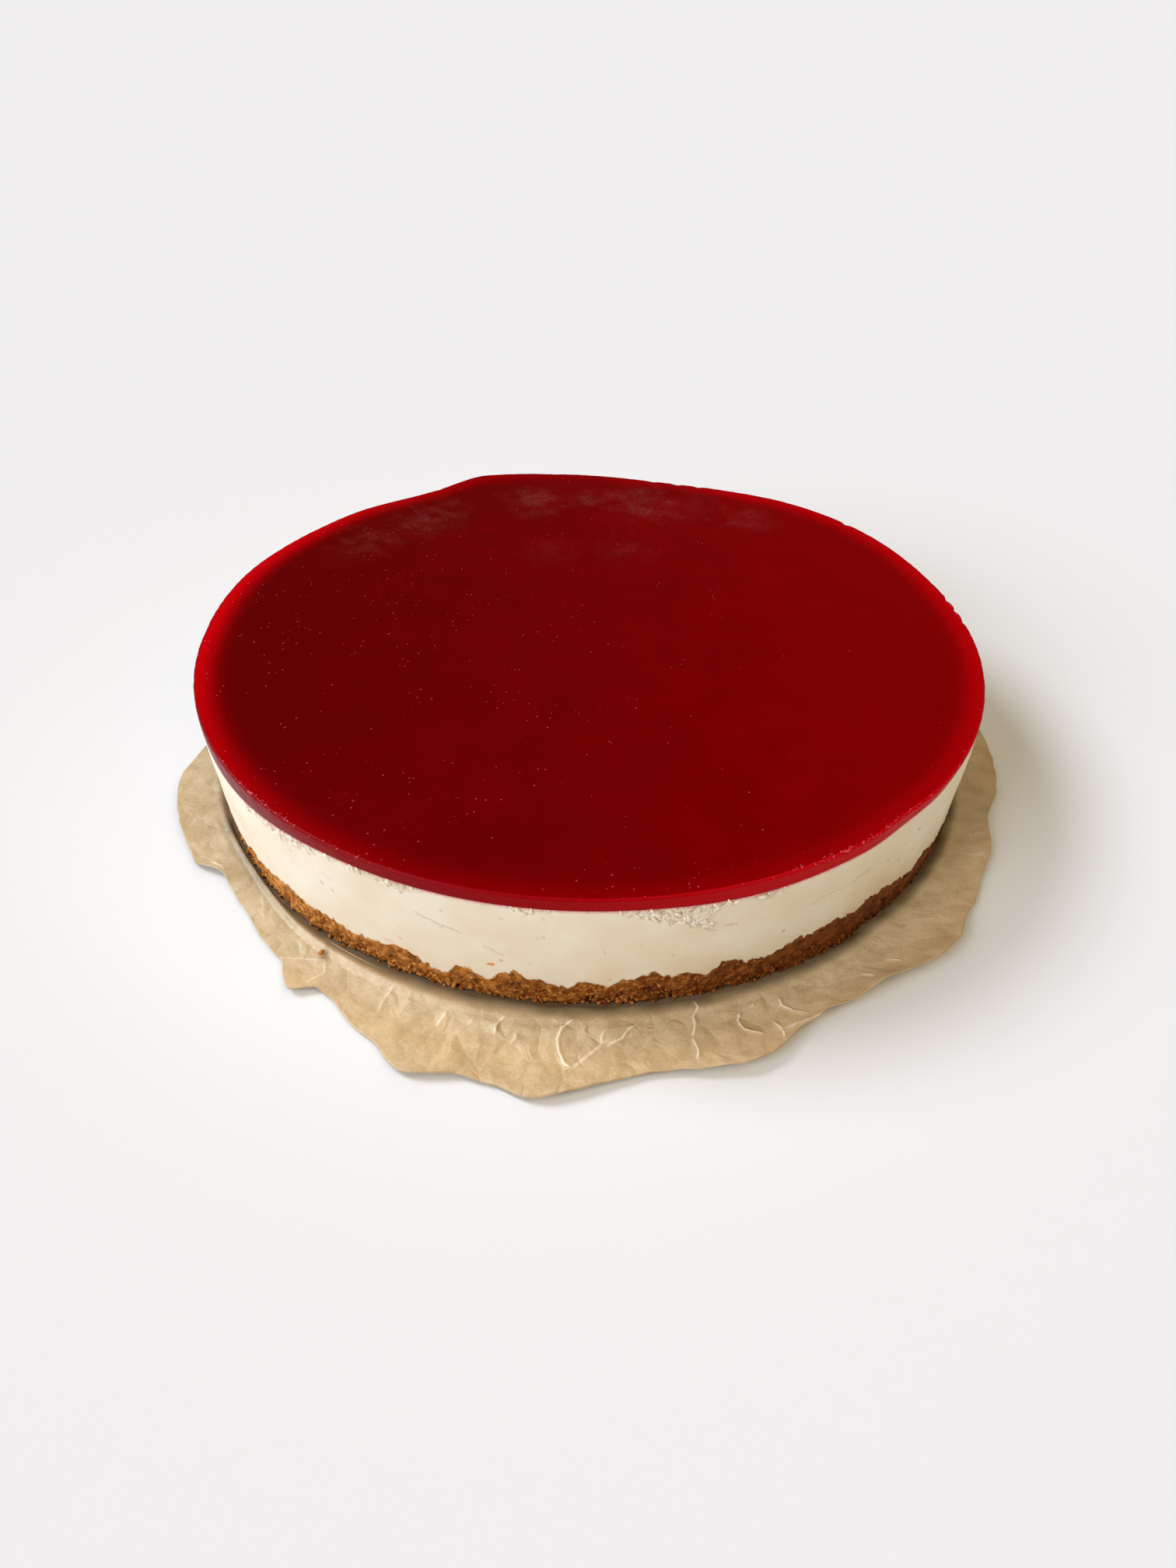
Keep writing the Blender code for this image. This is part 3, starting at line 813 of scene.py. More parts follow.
# Scratches: their course as azimuth and height, then depth and half width
SCRATCHES = (
    (((249.5, 30), (251.5, 28.6), (253, 27), (255.5, 25.5)), 0.35, 0.7),
    (((257.7, 22.7), (259, 21.2), (260.5, 18.7)), 0.3, 0.6),
    (((275.8, 37), (277.5, 35.8), (279, 34.4)), 0.5, 1.3),
    (((278.3, 35.6), (280.2, 33.6), (281.6, 31.9)), 0.6, 1.6),
    (((280.6, 33.4), (282.4, 31.2), (283.6, 29.5)), 0.55, 1.4),
    (((283.2, 30.4), (284.3, 28.8), (285.4, 27.3)), 0.4, 0.7),
    (((286, 29.5), (288, 28)), 0.35, 0.6),
    (((296, 27), (302, 28.5), (307, 29)), 0.2, 0.6),
    (((304, 30), (309, 31)), 0.22, 0.6),
    (((312, 29), (318, 30.5)), 0.2, 0.6),
    (((236, 31), (238.5, 29.8)), 0.15, 0.5),
    (((40, 24), (46, 22.5)), 0.25, 0.7),
    (((95, 30), (99, 27)), 0.3, 0.7),
    (((140, 20), (148, 22)), 0.25, 0.7),
)
# Air pits: azimuth, height, radius and depth
AIR_PITS = ((229, 35.5, 0.9, 0.35), (236, 26, 0.8, 0.3), (265.2, 28.8, 0.45, 0.3))
# Bits of biscuit that show in the cream: azimuth, height, half width and half height
BISCUIT_SPOTS = (
    (258.7, 15.0, 2.0, 0.9), (261.6, 13.4, 0.7, 0.5), (245.2, 13.2, 2.4, 0.45), (247.2, 11.8, 0.9, 0.6),
    (247, 16.5, 0.5, 0.4), (272.8, 11.9, 0.9, 0.35), (265.2, 28.8, 0.45, 0.3), (95, 16, 1.4, 0.7),
    (150, 13.5, 1.2, 0.6), (30, 16, 0.6, 0.5),
)
BISCUIT_SMEARS = ((257, 5, 4.5, 2.4), (246, 3, 3, 1.4), (70, 8, 8, 1.6), (170, 8, 8, 1.6))
PIT_COUNT = 130


@lru_cache(maxsize=None)
def jelly_line(azimuth):
    """The height at which cream gives way to jelly on the cake's side."""
    return JELLY_BOTTOM + humps(azimuth, JELLY_LINE_SWELLS)


def seeded_pits():
    """Small pinholes left by air bubbles, scattered over the side."""
    draw = random.Random(11)
    pits = []
    for _ in range(PIT_COUNT):
        size = draw.triangular(0.25, 0.8, 0.32)
        pits.append((draw.uniform(0.0, 360.0), draw.uniform(14.0, 38.5), size, size * 0.5))
    return tuple(pits)


def make_cream_side():
    def lower_lip(azimuth):
        height = crumb_line(azimuth)
        return wall_radius(azimuth, height) - CREAM_TUCK_IN, height

    def band(share):
        def ring(azimuth):
            low = crumb_line(azimuth)
            height = low + share * (jelly_line(azimuth) - low)
            uneven = CREAM_RELIEF * rough(azimuth, CAKE_RADIUS, height, CREAM_BUMP, 3.1)
            settle = 4.0 * share * (1.0 - share)
            return wall_radius(azimuth, height) + uneven * min(1.0, settle), height
        return ring

    def tucked(azimuth):
        return rim_radius(azimuth) - 0.6 * MM, jelly_line(azimuth) + 0.2 * MM

    def top(azimuth):
        return rim_radius(azimuth) - JELLY_LIP_WIDTH, JELLY_BOTTOM

    mesh, edges = start_disc(joint_middle, CREAM_STEPS)
    edges = grow(mesh, edges, (joint_shoulder, lower_lip), CREAM_STEPS)
    wall = len(mesh.verts)
    edges = grow(mesh, edges, [band(ring / CREAM_RINGS) for ring in range(CREAM_RINGS + 1)], CREAM_STEPS)
    wall_end = len(mesh.verts)
    edges = grow(mesh, edges, (tucked, top), CREAM_STEPS)
    bmesh.ops.contextual_create(mesh, geom=edges)

    stain_layer, torn_layer, pit_layer, scratch_layer, aside_layer, biscuit_layer = add_marks(
        mesh, "stain", "torn", "pit", "scratch", "scratch_aside", "biscuit"
    )
    verts = mesh.verts[wall:wall_end]
    azimuths = np.array([azimuth_of(vert, CREAM_STEPS) for vert in verts])
    heights = np.array([vert.co.z for vert in verts])
    arc = math.radians(1.0) * CAKE_RADIUS
    sunk = np.zeros(len(verts))
    courses = []
    for course, deep, half_width in SCRATCHES:
        corners = [(azimuth * arc, height * MM) for azimuth, height in course]
        courses.append((corners, deep / FULL_SCRATCH, SCRATCH_WIDTH * half_width * MM))
    aside, scratched = line_relief(np.stack((azimuths * arc, heights), axis=1), courses)
    for azimuth, height, size, deep in AIR_PITS + seeded_pits():
        across = ((azimuths - azimuth + 180.0) % 360.0 - 180.0) * arc
        away = np.hypot(across, heights - height * MM) / (size * MM)
        sunk += deep * MM * np.clip(1.0 - away * away, 0.0, 1.0)
    spotted = np.zeros(len(verts))
    for azimuth, height, wide, tall in BISCUIT_SPOTS:
        across = (azimuths - azimuth) * arc / (wide * MM)
        spotted = np.maximum(spotted, 1.3 - np.hypot(across, (heights - height * MM) / (tall * MM)))
    for vert, azimuth, height, pit, off, strong, crumb in zip(
        verts, azimuths, heights, sunk, aside, scratched, spotted
    ):
        below = jelly_line(azimuth) - height
        above = height - crumb_line(azimuth)
        reach = TORN_LEAST + share_at(azimuth, TORN_BANDS)
        reach *= 1.0 + 0.5 * noise.noise(vert.co / TORN_BUMP)
        torn = clamp(1.4 - 1.4 * below / (reach * MM)) * clamp((reach - 0.8) / 2.2)
        coarse, fine = (
            abs(noise.noise(vert.co / bump + Vector(shift)))
            for bump, shift in zip(SHRED_BUMPS, ((2.0, 6.0, 1.0), (8.0, 3.0, 4.0)))
        )
        groove = max(0.0, 1.0 - abs(off)) * strong
        outward = torn * (SHRED_RELIEF * (coarse + 0.4 * fine) - TORN_DEPTH) - pit - SCRATCH_DEPTH * groove
        outward += SKIN_RELIEF * noise.noise(vert.co / SHRED_BUMPS[0])
        lip = max(0.0, 1.0 - above / LIP_BAND)
        outward += lip * LIP_RELIEF * noise.noise(vert.co / LIP_BUMP)
        move_out(vert, min(outward, MOST_PROUD))
        vert[stain_layer] = max(0.0, 1.0 - below / STAIN_REACH)
        vert[torn_layer] = torn
        smear = humps(azimuth, BISCUIT_SMEARS)
        smeared = max(0.0, 1.0 - above / smear) if smear > 0.1 * MM else 0.0
        vert[biscuit_layer] = max(0.0, crumb, 0.75 * smeared)
        vert[pit_layer] = min(1.0, pit / FULL_PIT)
        vert[scratch_layer] = strong
        vert[aside_layer] = off
    bmesh.ops.recalc_face_normals(mesh, faces=mesh.faces)
    return mesh


# Set cheese cream is ivory and faintly see-through, so light softens its edges. It has a wet sheen where
# it was cast against the tin, and the jelly has dyed its uppermost millimetre pink. Painted shade darkens
# its pits, the clefts of the torn band and the scratch grooves, and a painted highlight lightens the curls
# and the burrs beside the scratches.
CREAM_IVORY = colour("#FAEDD4")
CREAM_SHADE = colour("#F3E1C1")
CREAM_PIT_SHADE = colour("#C79F6E")
CREAM_CURL_HIGHLIGHT = colour("#FFEDD2")
CREAM_STAIN = colour("#E59A98")
CREAM_CLOUD = 18.0 * MM
CREAM_GRAIN = 0.9 * MM
CREAM_SHRED = 3.0 * MM
SHRED_BUMP = 0.4 * MM
SCRATCH_BUMP = -0.2 * MM
BURR_BUMP = 0.35 * MM
CURD_BUMP = 0.03 * MM
BURR_ASIDE = 1.1
SCATTER_DEPTH = 0.6 * MM


def make_cream_material():
    material, shader, add = start_material("set cheese cream, cast in a tin")
    place_on = add("TexCoord", {}, take="Object")
    torn, aside, scratch, pit, curl, stain, biscuit = (
        add("Attribute", {}, take="Fac", attribute_name=mark)
        for mark in ("torn", "scratch_aside", "scratch", "pit", "curl", "stain", "biscuit")
    )
    clouds = add("TexNoise", {"Vector": place_on, "Scale": 1.0 / CREAM_CLOUD, "Detail": 3.0})
    curd = add("TexNoise", {"Vector": place_on, "Scale": 1.0 / CREAM_GRAIN, "Detail": 3.0})
    shade = add("MapRange", {0: clouds, 1: 0.35, 2: 0.65})
    base = add("Mix", {0: shade, 6: CREAM_SHADE, 7: CREAM_IVORY}, take=2, data_type="RGBA")

    shreds = add(
        "TexNoise", {"Vector": place_on, "Scale": 1.0 / CREAM_SHRED, "Detail": 1.5, "Distortion": 1.0}
    )
    centred = add("Math", {0: shreds, 1: 0.5}, operation="SUBTRACT")
    folded = add("Math", {0: centred}, operation="ABSOLUTE")
    cleft = add("MapRange", {0: shreds, 1: 0.4, 2: 0.56, 3: 0.6, 4: 0.0})
    cleft_here = add("Math", {0: cleft, 1: torn}, operation="MULTIPLY")
    shred_rise = add("MapRange", {0: folded, 1: 0.0, 2: 0.2, 3: 0.0, 4: SHRED_BUMP})
    torn_rise = add("Math", {0: shred_rise, 1: torn}, operation="MULTIPLY")

    strayed = add("MapRange", {0: shreds, 1: 0.3, 2: 0.7, 3: -1.1, 4: 1.1})
    off_line = add("Math", {0: aside, 1: strayed})
    off = add("Math", {0: off_line}, operation="ABSOLUTE")
    groove = add("MapRange", {0: off, 1: 0.0, 2: 1.0, 3: 1.0, 4: 0.0})
    grooved = add("Math", {0: groove, 1: scratch}, operation="MULTIPLY")
    scored = add("Math", {0: grooved, 1: SCRATCH_BUMP, 2: torn_rise}, operation="MULTIPLY_ADD")
    beside = add("Math", {0: off_line, 1: BURR_ASIDE}, operation="SUBTRACT")
    from_burr = add("Math", {0: beside}, operation="ABSOLUTE")
    burr = add("MapRange", {0: from_burr, 1: 0.0, 2: 0.9, 3: 1.0, 4: 0.0})
    burred = add("Math", {0: burr, 1: scratch}, operation="MULTIPLY")
    heaped = add("Math", {0: burred, 1: BURR_BUMP, 2: scored}, operation="MULTIPLY_ADD")

    # Painted shade in the air pits, the clefts of the torn band and the scratch grooves
    dark = add("Math", {0: pit, 1: cleft_here}, operation="MAXIMUM")
    painted_pit_shade = add("Math", {0: grooved, 1: 0.35, 2: dark}, operation="MULTIPLY_ADD", use_clamp=True)
    # Painted highlight on the curls and on the burrs beside the scratches
    raised = add("Math", {0: curl, 1: burred}, operation="MAXIMUM")
    uneven = add("Math", {0: stain, 1: curd}, operation="MULTIPLY")
    bled = add("MapRange", {0: uneven, 1: 0.02, 2: 0.42})
    bitty = add("Math", {0: curd, 1: 1.6, 2: biscuit}, operation="MULTIPLY_ADD")
    crumbed = add("MapRange", {0: bitty, 1: 1.15, 2: 1.75})
    coats = ((raised, CREAM_CURL_HIGHLIGHT), (painted_pit_shade, CREAM_PIT_SHADE), (crumbed, CRUMB_PALE), (bled, CREAM_STAIN))
    for share, coat in coats:
        base = add("Mix", {0: share, 6: base, 7: coat}, take=2, data_type="RGBA")
    wet = add("MapRange", {0: clouds, 1: 0.3, 2: 0.7, 3: 0.4, 4: 0.6})
    curdled = add("Math", {0: curd, 1: CURD_BUMP, 2: heaped}, operation="MULTIPLY_ADD")
    bump = add("Bump", {"Height": curdled, "Strength": 1.0, "Distance": 1.0})
    set_inputs(shader, {
        "Base Color": base, "Roughness": wet, "Normal": bump, "IOR": 1.38, "Subsurface Weight": 0.35,
        "Subsurface Radius": (1.0, 0.9, 0.75), "Subsurface Scale": SCATTER_DEPTH,
    })
    return material


cream_material = make_cream_material()
cream_side = make_piece("set_cream", make_cream_side(), cream_material)
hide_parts("cream_filling")

# Torn shreds of cream
# Small curls that the ring pulled out of the set cream as it came off. They hang under the jelly and
# along a gouge at the front, all dragged the same way.
SHRED_TRIES = 4200
SHRED_PATCH = 5.0 * MM
# Half the length, width and depth of a curl in millimetres, and its lean in degrees with its spread
SHRED_SIZES = ((0.6, 1.9), (0.32, 0.62), (0.4, 0.7))
SHRED_LEAN = (-36.0, 22.0)
# The course of the gouge, as azimuth and height, and how many curls stand along each leg of it
GOUGE = ((277.0, 37.6), (280.0, 35.6), (282.5, 33.0), (284.5, 30.6))
GOUGE_SHREDS = 15


def add_shred(mesh, centre, outward, draw):
    """One curl, from a ball of twenty faces that is drawn out along the wall."""
    level = Vector((0.0, 0.0, 1.0)).cross(outward)
    lean = math.radians(draw.gauss(*SHRED_LEAN))
    along = level * math.cos(lean) + Vector((0.0, 0.0, math.sin(lean)))
    turn = Matrix((along, outward.cross(along), outward)).transposed()
    half = Vector([draw.uniform(*ends) for ends in SHRED_SIZES]) * MM
    for vert in bmesh.ops.create_icosphere(mesh, subdivisions=1, radius=1.0)["verts"]:
        bend = 0.5 * vert.co.x * vert.co.x
        at = Vector((vert.co.x, vert.co.y + bend, vert.co.z)) * draw.uniform(0.75, 1.15)
        vert.co = turn @ Vector((at.x * half.x, at.y * half.y, at.z * half.z)) + centre


def make_shreds():
    draw = random.Random(17)
    mesh = bmesh.new()
    for _ in range(SHRED_TRIES):
        azimuth = round(draw.uniform(0.0, 360.0), 1)
        reach = share_at(azimuth, TORN_BANDS)
        below = draw.random() ** 1.3
        patch = 0.5 + noise.noise(spot(azimuth, CAKE_RADIUS, below * reach * MM) / SHRED_PATCH)
        if reach < 0.8 or draw.random() > 0.16 * reach * patch * patch:
            continue
        height = jelly_line(azimuth) - (0.5 + below * reach) * MM
        centre = spot(azimuth, wall_radius(azimuth, height) + draw.uniform(-0.25, 0.1) * MM, height)
        add_shred(mesh, centre, spot(azimuth, 1.0, 0.0), draw)
    for (azimuth, height), (last_azimuth, last_height) in zip(GOUGE, GOUGE[1:]):
        for _ in range(GOUGE_SHREDS):
            share = draw.random()
            at = azimuth + share * (last_azimuth - azimuth) + draw.gauss(0.0, 0.4)
            at_height = (height + share * (last_height - height) + draw.gauss(0.0, 0.6)) * MM
            centre = spot(at, wall_radius(at, at_height) + draw.uniform(-0.2, 0.1) * MM, at_height)
            add_shred(mesh, centre, spot(at, 1.0, 0.0), draw)
    # The curl mark makes the cream's material paint these curls lighter, as a painted highlight
    (curl_layer,) = add_marks(mesh, "curl")
    for vert in mesh.verts:
        vert[curl_layer] = 1.0
    bmesh.ops.recalc_face_normals(mesh, faces=mesh.faces)
    return mesh


make_piece("cream_shreds", make_shreds(), cream_material)

# Fruit jelly
# Red fruit juice set with gelatine, poured on the cold cream. It is clear and dark where it is deep,
# and along its lip, where it clung to the tin and light comes in from the side, a bright red glow is
# painted.
JELLY_LIP_HEIGHT = 0.4 * MM
JELLY_EDGE_ROUND = 0.6 * MM
JELLY_PROUD = 0.05 * MM
JELLY_UNEVEN = 0.12 * MM
JELLY_UNEVEN_BUMP = 5.0 * MM
JELLY_RAGGED_BUMP = 2.0 * MM
JELLY_WAVE = 22.0 * MM
JELLY_WAVE_HEIGHT = 0.06 * MM
JELLY_STEPS = 1320
JELLY_FACE_LEAST = JELLY_BOTTOM + 2.5 * MM

# How far the jelly climbs or sinks at the rim
RIM_RISES = ((76, 26, 24, -0.5), (111, 14, 9, 0.5), (125, 12, 12, -0.25))
# How brightly the painted glow lights the lip, where light comes in from the side: azimuth, reach before
# and after, share
JELLY_GLOWS = ((172, 85, 85, 0.82), (20, 100, 85, 0.36), (60, 15, 12, 0.15))
JELLY_GLOW_LEAST = 0.15
JELLY_GLOW_REACH = 9.6 * MM
# How much the spots stray from round, with the size of the bumps in their outline
HAZE_STRAYS = ((0.9, 6.0 * MM), (0.5, 2.5 * MM))
# Dull clouded spots on its face, which also carry a paler painted reflection: X, Y, how wide and how
# strong
HAZY_SPOTS = (
    (-25, 105, 8, 1.0), (-22, 94, 7, 0.7), (-2, 106, 6, 0.8), (18, 103, 10, 0.9), (24, 92, 8, 0.5),
    (-62, 88, 10, 0.5), (-67, 80, 9, 0.6), (-84, 66, 9, 0.45), (-90, 54, 8, 0.35), (64, 86, 9, 0.5),
    (-16, 56, 8, 0.3), (12, 58, 9, 0.3), (40, 98, 12, 0.3),
)
# Torn bits of jelly along the edge: how far in they reach, and the least share there is of them
FROST_REACH = 1.1 * MM
FROST_LEAST = 0.15
# Where they stand thicker: azimuth, reach before and after, share
FROSTS = (
    (226, 30, 30, 0.6), (306, 26, 26, 0.7), (6, 14, 14, 0.7), (39, 6, 6, 0.6), (73, 12, 12, 0.7),
    (150, 40, 40, 0.4),
)
# Where the side is painted glowing as if lit from within, and where a pale reflection is painted on it
SIDE_GLOWS = ((312, 66, 70, 0.9), (120, 60, 60, 0.5))
SIDE_PAINTED_SHEENS = ((216, 22, 24, 0.95), (150, 16, 16, 0.5))
# How far in a nick is felt, and the share of its depth that the edge drops there
NICK_REACH = 1.2 * MM
NICK_DROP = 0.3
# Nicks where the tin's ring pulled bits off the edge: azimuth, reach before and after, depth
EDGE_NICKS = (
    (3, 1.2, 1.5, 0.5), (6.5, 1.2, 1.2, 0.6), (10, 1.5, 1.0, 0.5), (39, 1.4, 1.0, 0.7),
    (69, 1.5, 1.2, 0.5), (73, 1.2, 1.5, 0.5), (78, 1.5, 1.5, 0.4), (303.5, 0.5, 0.5, 0.4),
    (326, 1.0, 1.0, 0.4),
)


@lru_cache(maxsize=None)
def nicked(azimuth):
    """How far the jelly's top edge stands back at an azimuth."""
    ragged = JELLY_UNEVEN * rough(azimuth, CAKE_RADIUS, 0.0, JELLY_RAGGED_BUMP, 1.4)
    return humps(azimuth, EDGE_NICKS) + ragged


def edge_height(azimuth):
    """How high the jelly's top edge stands."""
    return CAKE_TOP + humps(azimuth, RIM_RISES)


def make_jelly_body():
    def middle(azimuth):
        return rim_radius(azimuth) - JELLY_LIP_WIDTH, JELLY_BOTTOM

    def lower_edge(azimuth):
        height = jelly_line(azimuth)
        return wall_radius(azimuth, height) + JELLY_PROUD, height

    def side(share):
        def ring(azimuth):
            low = jelly_line(azimuth)
            height = low + share * (edge_height(azimuth) - JELLY_EDGE_ROUND - low)
            uneven = JELLY_UNEVEN * rough(azimuth, CAKE_RADIUS, height, JELLY_UNEVEN_BUMP, 6.6)
            radius = wall_radius(azimuth, height) + JELLY_PROUD + uneven * math.sin(math.pi * share)
            return radius - nicked(azimuth) * share ** 3, height
        return ring

    def rounding(turn):
        def ring(azimuth):
            inward = JELLY_EDGE_ROUND * (1.0 - math.cos(math.radians(turn)))
            downward = JELLY_EDGE_ROUND * (1.0 - math.sin(math.radians(turn)))
            nick = nicked(azimuth)
            return rim_radius(azimuth) - inward - nick, edge_height(azimuth) - downward - NICK_DROP * nick
        return ring

    def lip(inward):
        def ring(azimuth):
            past_edge = inward * MM - JELLY_EDGE_ROUND
            share = min(1.0, past_edge / (JELLY_LIP_WIDTH - JELLY_EDGE_ROUND))
            rise = humps(azimuth, RIM_RISES) * (1.0 - share)
            ragged = nicked(azimuth) * max(0.0, 1.0 - past_edge / NICK_REACH)
            height = CAKE_TOP + rise - JELLY_LIP_HEIGHT * ease(share) - NICK_DROP * ragged
            return rim_radius(azimuth) - inward * MM - ragged, height
        return ring

    def inner(share):
        def ring(azimuth):
            return share * (rim_radius(azimuth) - JELLY_LIP_WIDTH), CAKE_TOP - JELLY_LIP_HEIGHT
        return ring

    mesh, edges = start_disc(middle, JELLY_STEPS)
    rings = [lower_edge] + [side(share / 8.0) for share in range(1, 9)]
    rings += [rounding(turn) for turn in (18, 36, 54, 72, 90)]
    rings += [lip(inward) for inward in (0.9, 1.2, 1.6, 2.1, 2.8, 3.6, 4.5, 5.6, 6.8, 8.0)]
    rings += [inner(share / 40.0) for share in range(39, 19, -1)]
    rings += [inner(share / 20.0) for share in range(9, 0, -1)]
    edges = grow(mesh, edges, rings, JELLY_STEPS)
    bmesh.ops.contextual_create(mesh, geom=edges)

    inward_layer, glow_layer, haze_layer, frost_layer, side_layer, painted_sheen_layer = add_marks(
        mesh, "inward", "glow", "haze", "frost", "side_glow", "painted_sheen"
    )
    for vert in mesh.verts:
        azimuth = azimuth_of(vert, JELLY_STEPS)
        inward = rim_radius(azimuth) - vert.co.xy.length
        flat_spot = Vector((vert.co.x, vert.co.y, 0.0))
        if vert.co.z > JELLY_FACE_LEAST and inward > JELLY_EDGE_ROUND:
            wave = JELLY_WAVE_HEIGHT * noise.noise(flat_spot / JELLY_WAVE)
            vert.co.z += wave * min(1.0, inward / (10.0 * MM))
        vert[inward_layer] = inward / MM
        # Painted glow along the lip, strongest where light comes in from the side
        lit = JELLY_GLOW_LEAST + share_at(azimuth, JELLY_GLOWS)
        vert[glow_layer] = lit * ease(clamp(1.05 - inward / JELLY_GLOW_REACH))
        hazy = 0.0
        stray = sum(share * noise.noise(flat_spot / bump) for share, bump in HAZE_STRAYS)
        for at_x, at_y, wide, strong in HAZY_SPOTS:
            away = math.hypot(vert.co.x - at_x * MM, vert.co.y - at_y * MM) / (wide * MM) + stray
            hazy += strong * math.exp(-max(0.0, away) ** 2)
        vert[haze_layer] = min(1.0, hazy)
        down = edge_height(azimuth) - vert.co.z
        from_edge = math.hypot(inward - 0.5 * JELLY_EDGE_ROUND, 1.3 * down) / FROST_REACH
        torn_edge = FROST_LEAST + share_at(azimuth, FROSTS)
        vert[frost_layer] = torn_edge * math.exp(-from_edge * from_edge)
        # Painted glow on the side band, as if lit from within
        vert[side_layer] = share_at(azimuth, SIDE_GLOWS)
        low = down / max(edge_height(azimuth) - jelly_line(azimuth), 0.1 * MM)
        # Painted reflection: a pale mauve band on the side, strongest at the left
        painted_sheen = share_at(azimuth, SIDE_PAINTED_SHEENS)
        vert[painted_sheen_layer] = painted_sheen * max(0.0, min(0.72, 2.4 * low - 0.5)) + 0.25 * painted_sheen * (low > 0.95)
    bmesh.ops.recalc_face_normals(mesh, faces=mesh.faces)
    return mesh


# Set jelly is clear and wet, near black cherry in the middle. Its colour holds painted light: a bright red
# glow within
# 10 mm of the edge, where light enters from the side, a glowing side band, a face painted lighter toward
# +X, and pale painted reflections.
JELLY_DEEP = colour("#600001")
JELLY_CLEAR_LIT = colour("#7A0001")
JELLY_GLOW = colour("#D20009")
JELLY_SIDE = colour("#880008")
JELLY_SIDE_GLOW = colour("#CE000A")
JELLY_PAINTED_SHEEN = colour("#6E3A44")
JELLY_SEAM = colour("#4A1A22")
JELLY_HAZE_SHEEN = colour("#7E3A32")
JELLY_SPECK = colour("#D9626E")
JELLY_CLOUD = 19.0 * MM
JELLY_SPAN = 100.0 * MM
HAZE_GRAIN = 0.7 * MM
HAZE_PATCH = 7.0 * MM
SHARD_SIZE = 0.8 * MM
SPECK_SPACING = 2.6 * MM
SPECK_DRIFT = 13.0 * MM
SPECK_BUMP = 0.15 * MM


def make_jelly_material():
    material, shader, add = start_material("red fruit jelly, poured and set")
    place_on = add("TexCoord", {}, take="Object")
    glow, inward, within, painted_sheen, haze, frost = (
        add("Attribute", {}, take="Fac", attribute_name=mark)
        for mark in ("glow", "inward", "side_glow", "painted_sheen", "haze", "frost")
    )
    where = add("SeparateXYZ", {0: place_on})
    across = add("MapRange", {0: where, 1: -JELLY_SPAN, 2: JELLY_SPAN})
    clouds = add(
        "TexNoise", {"Vector": place_on, "Scale": 1.0 / JELLY_CLOUD, "Detail": 8.0, "Roughness": 0.62}
    )
    # Painted light: the face is lighter toward +X, mixed with its own cloudy mottling
    mixed = add("Mix", {0: 0.5, 2: across, 3: clouds})
    clear = add("MapRange", {0: mixed, 1: 0.3, 2: 0.72})
    edge = add("MapRange", {0: inward, 1: 0.9, 2: 0.4}, interpolation_type="SMOOTHSTEP")
    seam = add("MapRange", {0: painted_sheen, 1: 0.78, 2: 0.9, 3: 0.0, 4: 0.8})
    # The side band: painted glow, painted pale reflection, and a dark seam at its foot
    side = JELLY_SIDE
    for share, coat in ((within, JELLY_SIDE_GLOW), (painted_sheen, JELLY_PAINTED_SHEEN), (seam, JELLY_SEAM)):
        side = add("Mix", {0: share, 6: side, 7: coat}, take=2, data_type="RGBA")
    grain, patch, shard, strewn = (
        add("TexNoise", {"Vector": place_on, "Scale": 1.0 / size, "Detail": detail})
        for size, detail in ((HAZE_GRAIN, 2.0), (HAZE_PATCH, 5.0), (SHARD_SIZE, 1.0), (SPECK_DRIFT, 2.0))
    )
    spread = add("MapRange", {0: patch, 1: 0.3, 2: 0.7, 3: 0.1, 4: 1.0})
    speckle = add("MapRange", {0: grain, 1: 0.35, 2: 0.68, 3: 0.0, 4: 1.0})
    hazy = add("Math", {0: haze, 1: spread}, operation="MULTIPLY")
    # Dull spots: rougher, and paler with a painted reflection
    dull = add("Math", {0: hazy, 1: speckle}, operation="MULTIPLY")
    least = add("MapRange", {0: frost, 1: 0.0, 2: 1.0, 3: 0.78, 4: 0.5})
    excess = add("Math", {0: shard, 1: least}, operation="SUBTRACT")
    shards = add("MapRange", {0: excess, 1: 0.0, 2: 0.06, 3: 0.0, 4: 0.7})
    dots = add("TexVoronoi", {"Vector": place_on, "Scale": 1.0 / SPECK_SPACING})
    dot = add("MapRange", {0: dots, 1: 0.05, 2: 0.12, 3: 0.7, 4: 0.0})
    leftward = add("Math", {0: across, 1: -0.2, 2: strewn}, operation="MULTIPLY_ADD")
    here = add("MapRange", {0: leftward, 1: 0.45, 2: 0.53})
    dotted = add("Math", {0: dot, 1: here}, operation="MULTIPLY")
    bits = add("Math", {0: shards, 1: dotted}, operation="MAXIMUM")
    base = JELLY_DEEP
    for share, coat in (
        (clear, JELLY_CLEAR_LIT), (glow, JELLY_GLOW), (edge, side), (dull, JELLY_HAZE_SHEEN), (bits, JELLY_SPECK)
    ):
        base = add("Mix", {0: share, 6: base, 7: coat}, take=2, data_type="RGBA")
    raised = add("Math", {0: bits, 1: SPECK_BUMP}, operation="MULTIPLY")
    bump = add("Bump", {"Height": raised, "Strength": 1.0, "Distance": 1.0})
    duller = add("Math", {0: hazy, 1: edge}, operation="MAXIMUM")
    rough_spots = add("MapRange", {0: duller, 1: 0.0, 2: 1.0, 3: 0.14, 4: 0.36})
    set_inputs(shader, {
        "Base Color": base, "Normal": bump, "Roughness": rough_spots, "IOR": 1.36,
        "Specular IOR Level": 0.1,
    })
    return material


fruit_jelly = make_piece("set_fruit_jelly", make_jelly_body(), make_jelly_material())
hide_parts("fruit_jelly")

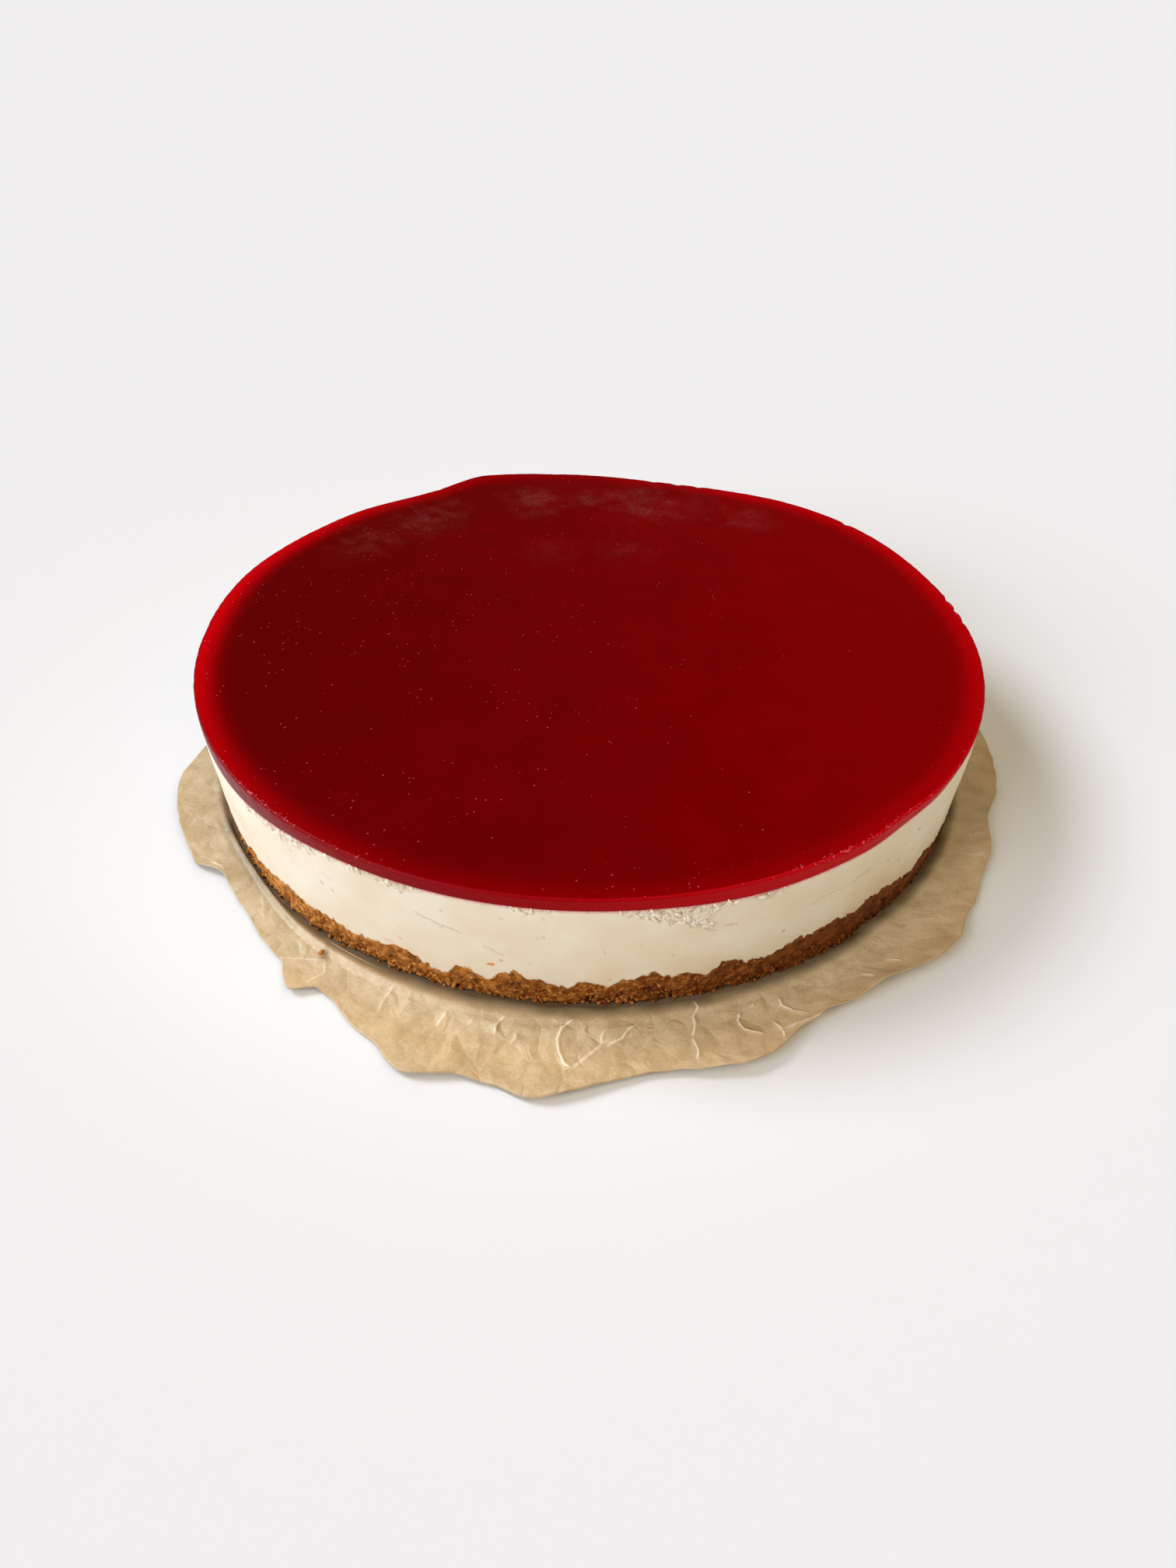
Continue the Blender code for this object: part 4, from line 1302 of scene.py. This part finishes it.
# Floor, light and camera
# A plain pale floor under a soft overhead dome, with a broad window at the left and a low fill from
# the front. The camera stands where the photograph was taken from.
FLOOR_SIDE = 30.0
FLOOR_DROP = 0.05 * MM
FLOOR_PALE = colour("#EDEDED")
SKY_PALE = colour("#F2F2F2")
# Broad soft lamps: name, azimuth and height they shine from, energy, how wide they look, and tint
LAMPS = (
    ("window", 157.0, 42.0, 2.0, 26.0, (0.94, 0.99, 1.1)),
    ("front_fill", 217.0, 24.0, 1.75, 34.0, (0.94, 1.0, 1.17)),
    ("warm_bounce", 334.0, 52.0, 0.9, 50.0, (1.0, 0.77, 0.38)),
)

# The camera: focal length in millimetres, place, and pitch and roll in degrees
FOCAL_LENGTH = 24.11
CAMERA_PLACE = (0.0, -0.3117, 0.2295)
CAMERA_PITCH = 39.321
CAMERA_ROLL = 0.759


def make_floor():
    mesh = bmesh.new()
    bmesh.ops.create_grid(mesh, x_segments=1, y_segments=1, size=FLOOR_SIDE / 2.0)
    material, shader = start_material("plain pale floor")[:2]
    set_inputs(shader, {"Base Color": FLOOR_PALE, "Roughness": 1.0, "Specular IOR Level": 0.0})
    floor = put_in_scene("floor", finished("floor", mesh, material))
    floor.location.z = -FLOOR_DROP


def make_light():
    world = bpy.data.worlds.new("studio")
    bpy.context.scene.world = world
    world.use_nodes = True
    world.node_tree.nodes.clear()
    add = partial(add_node, world.node_tree)
    direction = add("TexCoord", {}, take="Generated")
    upward = add("SeparateXYZ", {0: direction}, take=2)
    dome = add("MapRange", {0: upward, 1: 0.7, 2: 0.95, 3: 0.04, 4: 0.56}, interpolation_type="SMOOTHSTEP")
    lit = add("Background", {0: (1.0, 1.0, 1.0, 1.0), 1: dome})
    seen = add("Background", {0: SKY_PALE, 1: 1.0})
    ray = add("LightPath", {}, take="Is Camera Ray")
    both = add("MixShader", {0: ray, 1: lit, 2: seen})
    add("OutputWorld", {0: both})

    for name, azimuth, elevation, energy, spread, tint in LAMPS:
        lamp = bpy.data.lights.new(name, "SUN")
        lamp.energy = energy
        lamp.color = tint
        lamp.angle = math.radians(spread)
        turn = math.radians(elevation)
        towards = spot(azimuth, math.cos(turn), math.sin(turn))
        put_in_scene(name, lamp).rotation_euler = towards.to_track_quat("Z", "Y").to_euler()


def make_camera():
    lens = bpy.data.cameras.new("camera")
    lens.sensor_fit = "AUTO"
    lens.sensor_width = 36.0
    lens.lens = FOCAL_LENGTH
    lens.clip_start = 0.01
    camera = put_in_scene("camera", lens)
    pitch = math.radians(CAMERA_PITCH)
    ahead = Vector((0.0, math.cos(pitch), -math.sin(pitch)))
    right = Vector((1.0, 0.0, 0.0))
    upward = right.cross(ahead)
    roll = math.radians(CAMERA_ROLL)
    right, upward = (
        right * math.cos(roll) + upward * math.sin(roll),
        upward * math.cos(roll) - right * math.sin(roll),
    )
    turn = Matrix((right, upward, -ahead)).transposed()
    camera.matrix_world = Matrix.Translation(CAMERA_PLACE) @ turn.to_4x4()
    bpy.context.scene.camera = camera


make_floor()
make_light()
make_camera()
bpy.context.scene.view_settings.view_transform = "Standard"

bpy.context.view_layer.update()
